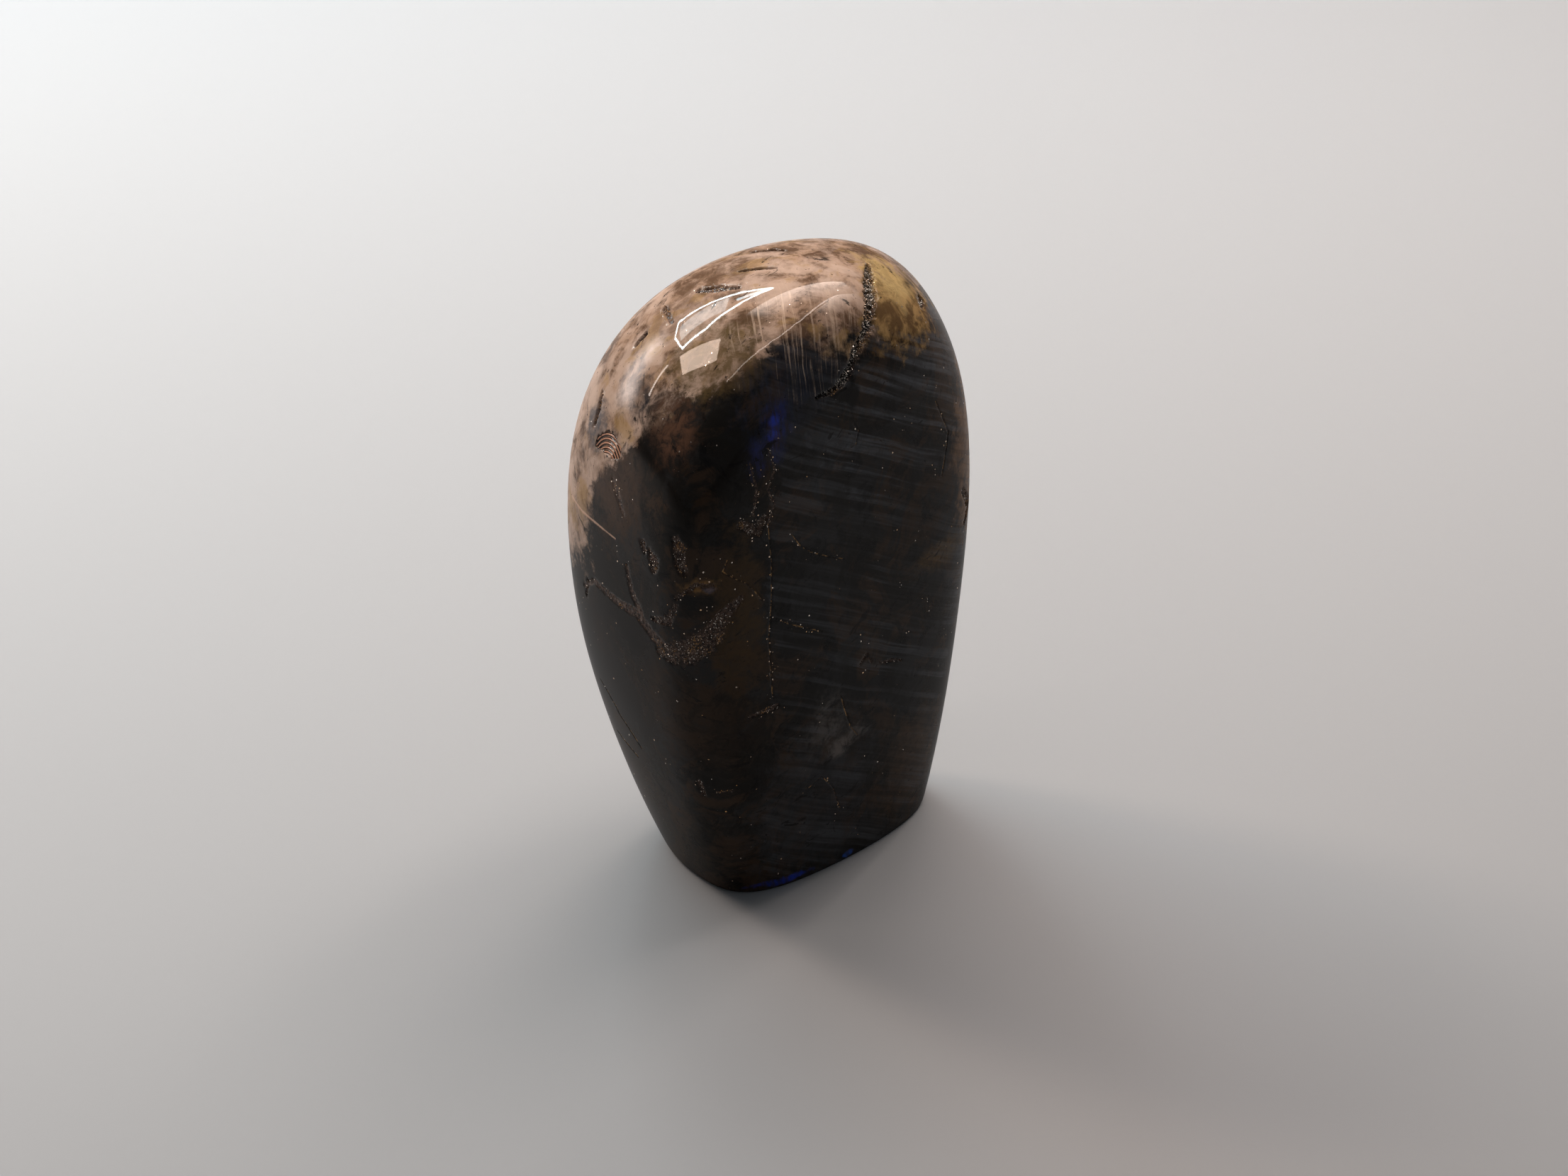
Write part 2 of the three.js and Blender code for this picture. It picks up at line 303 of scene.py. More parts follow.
    spread: dict[FlawKind, float] = field(default_factory=lambda: {
        FlawKind.FISSURE: 1.3,
        FlawKind.UNPOLISHED: 1.0,
        FlawKind.CRACK: 1.0,
        FlawKind.RIPPLE: 1.0,
        FlawKind.PAINTED_HIGHLIGHT_LINE: 1.0,
    })
    wide_floor: float = 0.72
    narrow_floor: float = 0.35
    edge_share: float = 0.28
    edge_grain: float = 0.8
    facet: float = 0.55
    facet_slope: float = 0.55
    facet_fill: float = 0.75
    facet_stretches: Pair = (3.7, 5.3)
    least_rough: float = 0.01
    facet_seed: int = 11
    ripple_length: float = 0.68
    ripple_height: float = 0.11
    ripple_heart: Triple = (-25.4, -13.7, 71.8)


@dataclass
class FlawField:
    """What the flaws do at each point of the skin: the depth, the distance to a crack, and masks."""

    sunk: np.ndarray
    step: np.ndarray
    rough: np.ndarray
    ripple: np.ndarray
    grains: np.ndarray
    glints: np.ndarray
    seam: np.ndarray
    crack: np.ndarray


@dataclass
class FlawRun:
    """One straight run of a flaw between two of its stops."""

    flaw: Flaw
    start: np.ndarray
    along: np.ndarray
    half_widths: tuple[float, float]

    def beside(self, points: np.ndarray) -> tuple[np.ndarray, np.ndarray]:
        """Measure points against this run.

        Args:
            points: Points on the skin, one a row.

        Returns:
            Their distances from the run, and the run's half widths beside them.
        """
        share = np.clip((points - self.start) @ self.along / (self.along @ self.along), 0.0, 1.0)
        distance = np.linalg.norm(points - self.start - share[:, None] * self.along, axis=1)
        first, last = self.half_widths
        return distance, first + (last - first) * share


@dataclass
class SkinMesh:
    """A triangle mesh of the skin, finer where a flaw needs it."""

    skin: Skin
    flaws: Flaws
    start_level: int = 5
    edge_on_body: float = 1.5
    edge_on_base: float = 4.0
    edge_in: dict[FlawKind, float] = field(default_factory=lambda: {
        FlawKind.FISSURE: 0.28,
        FlawKind.UNPOLISHED: 0.36,
        FlawKind.CRACK: 0.26,
        FlawKind.RIPPLE: 0.13,
        FlawKind.PAINTED_HIGHLIGHT_LINE: 0.24,
    })
    margin: float = 0.12
    most_halvings: int = 24
    glint_reach: float = 0.8
    no_crack: float = 9.0
    rays: np.ndarray = field(init=False)
    triangles: np.ndarray = field(init=False)
    runs: list[FlawRun] = field(init=False)

    def __post_init__(self) -> None:
        """Lay out the flaws' runs, and halve a ball of directions until it is fine enough."""
        self.runs = [run for flaw in self.flaws.seen + self.flaws.hidden for run in self._runs(flaw)]
        self.rays, self.triangles = self._ball()
        self.triangles = self._longest_first(self.skin.points(self.rays))
        for _ in range(self.most_halvings):
            if not self._halve():
                break

    def _runs(self, flaw: Flaw) -> list[FlawRun]:
        """Return the straight runs between a flaw's stops."""
        rays = np.array([unit(azimuth, elevation) for azimuth, elevation, _ in flaw.stops])
        ends = self.skin.points(rays)
        widths = [width / 2.0 for _, _, width in flaw.stops]
        return [
            FlawRun(flaw, ends[i], ends[i + 1] - ends[i], (widths[i], widths[i + 1]))
            for i in range(len(ends) - 1)
        ]

    def _ball(self) -> tuple[np.ndarray, np.ndarray]:
        """Return the rays and triangles of an even ball of directions."""
        ball = bmesh.new()
        bmesh.ops.create_icosphere(ball, subdivisions=self.start_level, radius=1.0)
        rays = np.array([vertex.co[:] for vertex in ball.verts])
        triangles = np.array([[vertex.index for vertex in face.verts] for face in ball.faces])
        ball.free()
        return rays / np.linalg.norm(rays, axis=1, keepdims=True), triangles

    def _longest_first(self, points: np.ndarray) -> np.ndarray:
        """Return the triangles, each turned so that its first edge is its longest."""
        corners = points[self.triangles]
        lengths = np.linalg.norm(np.roll(corners, -1, axis=1) - corners, axis=2)
        turns = (np.argmax(lengths, axis=1)[:, None] + np.arange(3)) % 3
        return np.take_along_axis(self.triangles, turns, axis=1)

    def _longest_edge(self, points: np.ndarray) -> np.ndarray:
        """Return the longest edge that the mesh may have at each point."""
        on_base = points[:, 2] < -self.skin.base_round
        longest = np.where(on_base, self.edge_on_base, self.edge_on_body)
        for run in self.runs:
            fine = self.edge_in[run.flaw.kind]
            distance, half_width = run.beside(points)
            near = distance < half_width + self.margin
            longest = np.where(near, np.minimum(longest, fine), longest)
        return longest

    def _halve(self) -> bool:
        """Halve the triangles that are too large once.

        Returns:
            True if there were any.
        """
        points = self.skin.points(self.rays)
        a, b, c = self.triangles.T
        size = np.linalg.norm(points[a] - points[b], axis=1)
        large = size > self._longest_edge(points[self.triangles].mean(axis=1))
        if not large.any():
            return False
        count = len(self.rays)
        ends = np.sort(np.stack([np.stack([a, b], 1), np.stack([b, c], 1), np.stack([c, a], 1)], 1), 2)
        names, edge = np.unique(ends[..., 0] * count + ends[..., 1], return_inverse=True)
        edge = edge.reshape(-1, 3)
        marked = np.zeros(len(names), dtype=bool)
        marked[edge[large, 0]] = True
        before = -1
        while marked.sum() > before:
            before = marked.sum()
            marked[edge[marked[edge].any(axis=1), 0]] = True
        middle = np.full(len(names), -1)
        middle[marked] = count + np.arange(marked.sum())
        halfway = (points[names[marked] // count] + points[names[marked] % count]) / 2.0
        halfway -= np.array(self.skin.centre)
        halfway /= np.linalg.norm(halfway, axis=1, keepdims=True)
        self.rays = np.concatenate([self.rays, halfway])
        self.triangles = self._cut(middle[edge])
        self.triangles = self._longest_first(self.skin.points(self.rays))
        return True

    def _cut(self, middles: np.ndarray) -> np.ndarray:
        """Cut each triangle at the middles of its marked edges.

        Args:
            middles: The middle vertex of each edge of each triangle, or -1 where it has none.

        Returns:
            The new triangles.
        """
        whole = self.triangles[middles[:, 0] < 0]
        halved = middles[:, 0] >= 0
        a, b, c = self.triangles[halved].T
        ab, bc, ca = middles[halved].T
        near, far = bc >= 0, ca >= 0

        def rows(choice: np.ndarray, *corners: np.ndarray) -> np.ndarray:
            """Return the chosen rows of three columns of corners."""
            return np.stack(corners, axis=1)[choice]

        return np.concatenate([
            whole,
            rows(~near, ab, b, c), rows(near, ab, b, bc), rows(near, ab, bc, c),
            rows(~far, a, ab, c), rows(far, a, ab, ca), rows(far, ab, c, ca),
        ])

    def marks(self, points: np.ndarray) -> FlawField:
        """Work out what the flaws do at each point of the skin.

        Args:
            points: Points on the skin, one a row.

        Returns:
            Depths in millimetres, and masks from 0 to 1.
        """
        speck = np.array([noise.noise(Vector(p)) for p in points / self.flaws.edge_grain])
        names = [part.name for part in fields(FlawField)]
        found = FlawField(**{name: np.zeros(len(points)) for name in names})
        found.crack += self.no_crack
        for run in self.runs:
            distance, half_width = run.beside(points)
            flaw = run.flaw
            ragged = half_width * self.flaws.spread[flaw.kind] * (1.0 + self.flaws.edge_share * speck)
            thin = flaw.kind in (FlawKind.CRACK, FlawKind.PAINTED_HIGHLIGHT_LINE)
            floor = (self.flaws.narrow_floor if thin else self.flaws.wide_floor) * ragged
            wall = 1.0 - smooth((distance - floor) / (ragged - floor))
            glow = 1.0 - smooth((distance - half_width) / self.glint_reach)
            found.glints = np.maximum(found.glints, flaw.glints * glow)
            found.sunk = np.maximum(found.sunk, flaw.depth * wall)
            if flaw.kind is FlawKind.PAINTED_HIGHLIGHT_LINE:
                found.seam = np.maximum(found.seam, wall)
                continue
            found.grains = np.maximum(found.grains, flaw.grains * wall)
            if flaw.kind is FlawKind.CRACK:
                found.crack = np.minimum(found.crack, distance)
            elif flaw.kind is FlawKind.RIPPLE:
                found.ripple = np.maximum(found.ripple, wall)
            else:
                found.rough = np.maximum(found.rough, wall)
        return found

    def facets(self, points: np.ndarray, rough: np.ndarray) -> np.ndarray:
        """Return the relief of broken crystal faces, from 0 to 1, where the skin is rough.

        Args:
            points: Points on the skin, one a row.
            rough: How unpolished each point is, from 0 to 1.

        Returns:
            The relief of each point.
        """
        noise.seed_set(self.flaws.facet_seed)
        relief = np.zeros(len(points))
        size = self.flaws.facet
        tilt_stretch, step_stretch = self.flaws.facet_stretches
        for index in np.flatnonzero(rough > self.flaws.least_rough):
            place = Vector(points[index]) / size
            heart = noise.voronoi(place)[1][0]
            tilt = noise.noise_vector(heart * tilt_stretch)
            step = noise.noise(heart * step_stretch)
            relief[index] = 0.5 + 0.5 * step + self.flaws.facet_slope * tilt.dot(place - heart)
        return np.clip(relief, 0.0, 1.0)

    def finished(self) -> tuple[np.ndarray, FlawField]:
        """Sink and raise the skin.

        Returns:
            The finished points in millimetres, and what the flaws do at each.
        """
        points = self.skin.points(self.rays)
        normals = self.skin.normals(self.rays)
        found = self.marks(points)
        relief = self.facets(points, found.rough)
        far = np.linalg.norm(points - np.array(self.flaws.ripple_heart), axis=1)
        ripple = np.sin(2.0 * math.pi * far / self.flaws.ripple_length) * found.ripple
        found.step = 0.5 * found.ripple + 0.5 * ripple
        depth = found.sunk * (1.0 - self.flaws.facet_fill * found.rough * relief)
        lift = self.skin.swell(points) - depth + self.flaws.ripple_height * ripple
        points = points + normals * lift[:, None]
        points[:, 2] = self.skin.cut(points[:, 2])
        return points, found


@dataclass(frozen=True)
class GrainSizes:
    """Sizes of the broken crystal grains that stand in the rough places, in metres."""

    densest: float = 1.35e7
    smallest: float = 0.00007
    largest: float = 0.00026
    block: Triple = (1.0, 0.75, 0.45)
    seed: int = 7


class GrainTree:
    """Geometry nodes that scatter broken crystal grains over the rough places of a mesh."""

    def __init__(self, sizes: GrainSizes, material: bpy.types.Material) -> None:
        """Build the tree with named inputs.

        Args:
            sizes: The sizes of the grains.
            material: What the stone and its grains are made of.
        """
        self.block = sizes.block
        self.tree = bpy.data.node_groups.new("crystal_grains", "GeometryNodeTree")
        self.values: dict[str, tuple[str, object]] = {
            "Densest": ("NodeSocketFloat", sizes.densest),
            "Smallest": ("NodeSocketFloat", sizes.smallest),
            "Largest": ("NodeSocketFloat", sizes.largest),
            "Seed": ("NodeSocketInt", sizes.seed),
            "Material": ("NodeSocketMaterial", material),
        }
        self._socket("Mesh", "INPUT", "NodeSocketGeometry")
        self.inputs = {
            name: self._socket(name, "INPUT", kind) for name, (kind, _) in self.values.items()
        }
        self._socket("Mesh", "OUTPUT", "NodeSocketGeometry")
        self._build()

    def _socket(self, name: str, way: str, kind: str) -> str:
        """Add a socket to the tree's interface and return its identifier."""
        return self.tree.interface.new_socket(name=name, in_out=way, socket_type=kind).identifier

    def _node(self, kind: str, **settings: object) -> bpy.types.Node:
        """Add a node of a kind with its settings."""
        node = self.tree.nodes.new(kind)
        for name, value in settings.items():
            setattr(node, name, value)
        return node

    def _build(self) -> None:
        """Scatter the grains, turn and size each at random, and join them to the mesh."""
        start = self._node("NodeGroupInput")
        density = self._node("GeometryNodeInputNamedAttribute", data_type="FLOAT")
        density.inputs["Name"].default_value = "grains"
        amount = self._node("ShaderNodeMath", operation="MULTIPLY")
        scatter = self._node("GeometryNodeDistributePointsOnFaces", distribute_method="RANDOM")
        turn = self._node("FunctionNodeRandomValue", data_type="FLOAT_VECTOR")
        turn.inputs["Max"].default_value = (2 * math.pi,) * 3
        size = self._node("FunctionNodeRandomValue", data_type="FLOAT")
        block = self._node("GeometryNodeMeshCube")
        block.inputs["Size"].default_value = self.block
        place = self._node("GeometryNodeInstanceOnPoints")
        real = self._node("GeometryNodeRealizeInstances")
        flat = self._node("GeometryNodeSetShadeSmooth")
        flat.inputs["Shade Smooth"].default_value = False
        mark = self._node("GeometryNodeStoreNamedAttribute", data_type="FLOAT", domain="POINT")
        mark.inputs["Name"].default_value = "grain"
        mark.inputs["Value"].default_value = 1.0
        join = self._node("GeometryNodeJoinGeometry")
        dress = self._node("GeometryNodeSetMaterial")
        end = self._node("NodeGroupOutput")
        for source, outlet, target, inlet in (
            (density, "Attribute", amount, 0), (start, "Densest", amount, 1),
            (start, "Mesh", scatter, "Mesh"), (amount, 0, scatter, "Density"),
            (start, "Seed", scatter, "Seed"), (start, "Seed", turn, "Seed"),
            (start, "Smallest", size, 2), (start, "Largest", size, 3), (start, "Seed", size, "Seed"),
            (scatter, "Points", place, "Points"), (block, "Mesh", place, "Instance"),
            (turn, "Value", place, "Rotation"), (size, 1, place, "Scale"),
            (place, "Instances", real, "Geometry"), (real, "Geometry", flat, "Geometry"),
            (flat, "Geometry", mark, "Geometry"), (mark, "Geometry", join, "Geometry"),
            (start, "Mesh", join, "Geometry"), (join, "Geometry", dress, "Geometry"),
            (start, "Material", dress, "Material"), (dress, "Geometry", end, "Mesh"),
        ):
            self.tree.links.new(source.outputs[outlet], target.inputs[inlet])

    def apply(self, piece: bpy.types.Object) -> None:
        """Run the tree on a piece and keep the result as its plain mesh."""
        modifier = piece.modifiers.new("crystal_grains", "NODES")
        modifier.node_group = self.tree
        for name, (_, value) in self.values.items():
            modifier[self.inputs[name]] = value
        graph = bpy.context.evaluated_depsgraph_get()
        made = bpy.data.meshes.new_from_object(piece.evaluated_get(graph))
        piece.modifiers.remove(modifier)
        piece.data = made


@dataclass(frozen=True)
class Shade:
    """A colour as the eye reads it, each channel from 0 to 255."""

    red: float
    green: float
    blue: float

    def linear(self) -> tuple[float, float, float, float]:
        """Return the colour in linear light, with full alpha."""
        channels = [value / 255.0 for value in (self.red, self.green, self.blue)]
        lit = [v / 12.92 if v <= 0.04045 else ((v + 0.055) / 1.055) ** 2.4 for v in channels]
        return (lit[0], lit[1], lit[2], 1.0)


Socket = bpy.types.NodeSocket
Amount = Socket | float


@dataclass(frozen=True)
class Lumps:
    """Soft noise: how large its lumps are, how fine, rough and bent, and how far it is moved."""

    size: float
    detail: float = 3.0
    rough: float = 0.55
    bend: float = 0.0
    moved: Triple | None = None


@dataclass(frozen=True)
class Patches:
    """Patches cut from soft noise between two levels, with the strength they show at."""

    lumps: Lumps
    low: float
    high: float
    strength: float = 1.0


@dataclass(frozen=True)
class Sheets:
    """Flat sheets inside the stone: the way they face, their spacing and their length."""

    normal: Triple
    spacing: float
    length: float


class Bench:
    """Lays out the nodes of a shader tree, so that a finish reads as a recipe."""

    def __init__(self, tree: bpy.types.NodeTree) -> None:
        """Work on a tree of nodes.

        Args:
            tree: The tree.
        """
        self.tree = tree
        self.place: Socket | None = None

    def node(self, kind: str, **settings: object) -> bpy.types.Node:
        """Add a node of a kind with its settings."""
        made = self.tree.nodes.new(kind)
        for name, value in settings.items():
            setattr(made, name, value)
        return made

    def feed(self, socket: Socket, value: object) -> None:
        """Link a socket to another, or set its value."""
        if isinstance(value, bpy.types.NodeSocket):
            self.tree.links.new(value, socket)
        elif value is not None:
            socket.default_value = value

    def vector(self, operation: str, first: object, second: object = None,
               scale: float | None = None) -> Socket:
        """Return the result of a vector operation."""
        made = self.node("ShaderNodeVectorMath", operation=operation)
        self.feed(made.inputs[0], first)
        self.feed(made.inputs[1], second)
        if scale is not None:
            made.inputs["Scale"].default_value = scale
        length = operation in ("LENGTH", "DOT_PRODUCT", "DISTANCE")
        return made.outputs["Value" if length else "Vector"]

    def math(self, operation: str, first: Amount, second: Amount | None = None) -> Socket:
        """Return the result of a sum on numbers."""
        made = self.node("ShaderNodeMath", operation=operation)
        self.feed(made.inputs[0], first)
        self.feed(made.inputs[1], second)
        return made.outputs[0]

    def times(self, first: Amount, second: Amount) -> Socket:
        """Return the product of two numbers."""
        return self.math("MULTIPLY", first, second)

    def plus(self, first: Amount, second: Amount) -> Socket:
        """Return the sum of two numbers."""
        return self.math("ADD", first, second)

    def most(self, first: Amount, second: Amount) -> Socket:
        """Return the larger of two numbers."""
        return self.math("MAXIMUM", first, second)

    def step(self, value: Amount, low: float, high: float) -> Socket:
        """Return a smooth step from 0 at low to 1 at high, or down if low is the larger."""
        made = self.node("ShaderNodeMapRange", interpolation_type="SMOOTHSTEP")
        self.feed(made.inputs["Value"], value)
        made.inputs["From Min"].default_value = min(low, high)
        made.inputs["From Max"].default_value = max(low, high)
        made.inputs["To Min"].default_value = 0.0 if low < high else 1.0
        made.inputs["To Max"].default_value = 1.0 if low < high else 0.0
        return made.outputs["Result"]

    def span(self, value: Amount, low: float, high: float) -> Socket:
        """Return a share from 0 to 1 as a number from low to high."""
        made = self.node("ShaderNodeMapRange")
        self.feed(made.inputs["Value"], value)
        made.inputs["To Min"].default_value = low
        made.inputs["To Max"].default_value = high
        return made.outputs["Result"]

    def tint(self, share: Amount, under: object, over: object) -> Socket:
        """Return one colour laid over another by a share."""
        made = self.node("ShaderNodeMix", data_type="RGBA")
        self.feed(made.inputs["Factor"], share)
        for name, colour in (("A", under), ("B", over)):
            socket = next(s for s in made.inputs if s.name == name and s.type == "RGBA")
            self.feed(socket, colour.linear() if isinstance(colour, Shade) else colour)
        return next(s for s in made.outputs if s.type == "RGBA")

    def noise(self, lumps: Lumps, places: Socket | None = None) -> Socket:
        """Return soft noise over places, or over the plain ones."""
        made = self.node("ShaderNodeTexNoise")
        spot = self.place if places is None else places
        if lumps.moved is not None:
            spot = self.vector("ADD", spot, lumps.moved)
        self.feed(made.inputs["Vector"], spot)
        made.inputs["Scale"].default_value = 1.0 / lumps.size
        made.inputs["Detail"].default_value = lumps.detail
        made.inputs["Roughness"].default_value = lumps.rough
        made.inputs["Distortion"].default_value = lumps.bend
        return made.outputs["Fac"]

    def patches(self, patches: Patches, places: Socket | None = None) -> Socket:
        """Return how strongly patches show at each place."""
        shown = self.step(self.noise(patches.lumps, places), patches.low, patches.high)
        return self.times(shown, patches.strength)

    def shake(self, size: float, amount: float) -> Socket:
        """Return the places moved about by soft noise of a size, by up to half an amount."""
        made = self.node("ShaderNodeTexNoise")
        self.feed(made.inputs["Vector"], self.place)
        made.inputs["Scale"].default_value = 1.0 / size
        made.inputs["Detail"].default_value = 3.0
        centred = self.vector("SUBTRACT", made.outputs["Color"], (0.5, 0.5, 0.5))
        return self.vector("ADD", self.place, self.vector("SCALE", centred, scale=amount))

    def sheets(self, sheets: Sheets, places: Socket | None = None) -> Socket:
        """Return coordinates that are stretched along flat sheets inside the stone.

        Args:
            sheets: The sheets.
            places: The places to stretch, or None for the plain ones.

        Returns:
            The coordinates, one unit apart from sheet to sheet.
        """
        spot = self.place if places is None else places
        across = Vector(sheets.normal).normalized()
        side = across.orthogonal().normalized()
        ways = (side, across.cross(side), across)
        joined = self.node("ShaderNodeCombineXYZ")
        for socket, way, size in zip(joined.inputs, ways, (sheets.length, sheets.length, sheets.spacing)):
            self.feed(socket, self.vector("DOT_PRODUCT", spot, tuple(way / size)))
        return joined.outputs[0]

    def attribute(self, name: str) -> Socket:
        """Return a number that the mesh carries."""
        return self.node("ShaderNodeAttribute", attribute_name=name).outputs["Fac"]


class MaterialBench(Bench):
    """A bench that starts an empty material, with its places in millimetres."""

    def __init__(self, name: str) -> None:
        """Start the material.

        Args:
            name: The material's name.
        """
        self.material = bpy.data.materials.new(name)
        self.material.use_nodes = True
        super().__init__(self.material.node_tree)
        self.tree.nodes.clear()
        corner = self.node("ShaderNodeTexCoord").outputs["Object"]
        self.place = self.vector("SCALE", corner, scale=1.0 / MM)


@dataclass(frozen=True)
class Cloud:
    """A cloud inside the stone: an ellipsoid with a ragged, soft edge. A mask has no shade."""

    centre: Triple
    radii: Triple
    shade: Shade | None
    strength: float = 1.0
    soft: float = 0.3
    patchy: float = 0.45


@dataclass(frozen=True)
class Side:
    """Everything of the stone that lies past a flat limit: where it starts, and how softly."""

    normal: Triple
    start: float
    soft: float = 1.5


@dataclass(frozen=True)
class Limits:
    """Where clouds and sides end, with one raggedness shared by them all."""

    bench: Bench
    places: Socket
    grain: Socket
    veil: Socket
    ragged_cloud: float = 2.4
    ragged_side: float = 11.0

    def cloud(self, cloud: Cloud) -> Socket:
        """Return how much of a cloud's colour shows at each place."""
        bench = self.bench
        local = bench.vector("SUBTRACT", self.places, cloud.centre)
        reach = bench.vector("LENGTH", bench.vector("DIVIDE", local, cloud.radii))
        reach = bench.plus(reach, bench.times(self.grain, self.ragged_cloud))
        inside = bench.step(reach, 1.0 + cloud.soft, 1.0 - cloud.soft)
        thick = bench.span(self.veil, (1.0 - cloud.patchy) * cloud.strength, cloud.strength)
        return bench.times(inside, thick)

    def side(self, side: Side) -> Socket:
        """Return how far each place lies past a flat limit, from 0 to 1."""
        bench = self.bench
        reach = bench.vector("DOT_PRODUCT", self.places, side.normal)
        reach = bench.plus(reach, bench.times(self.grain, self.ragged_side))
        return bench.step(reach, side.start - side.soft, side.start + side.soft)


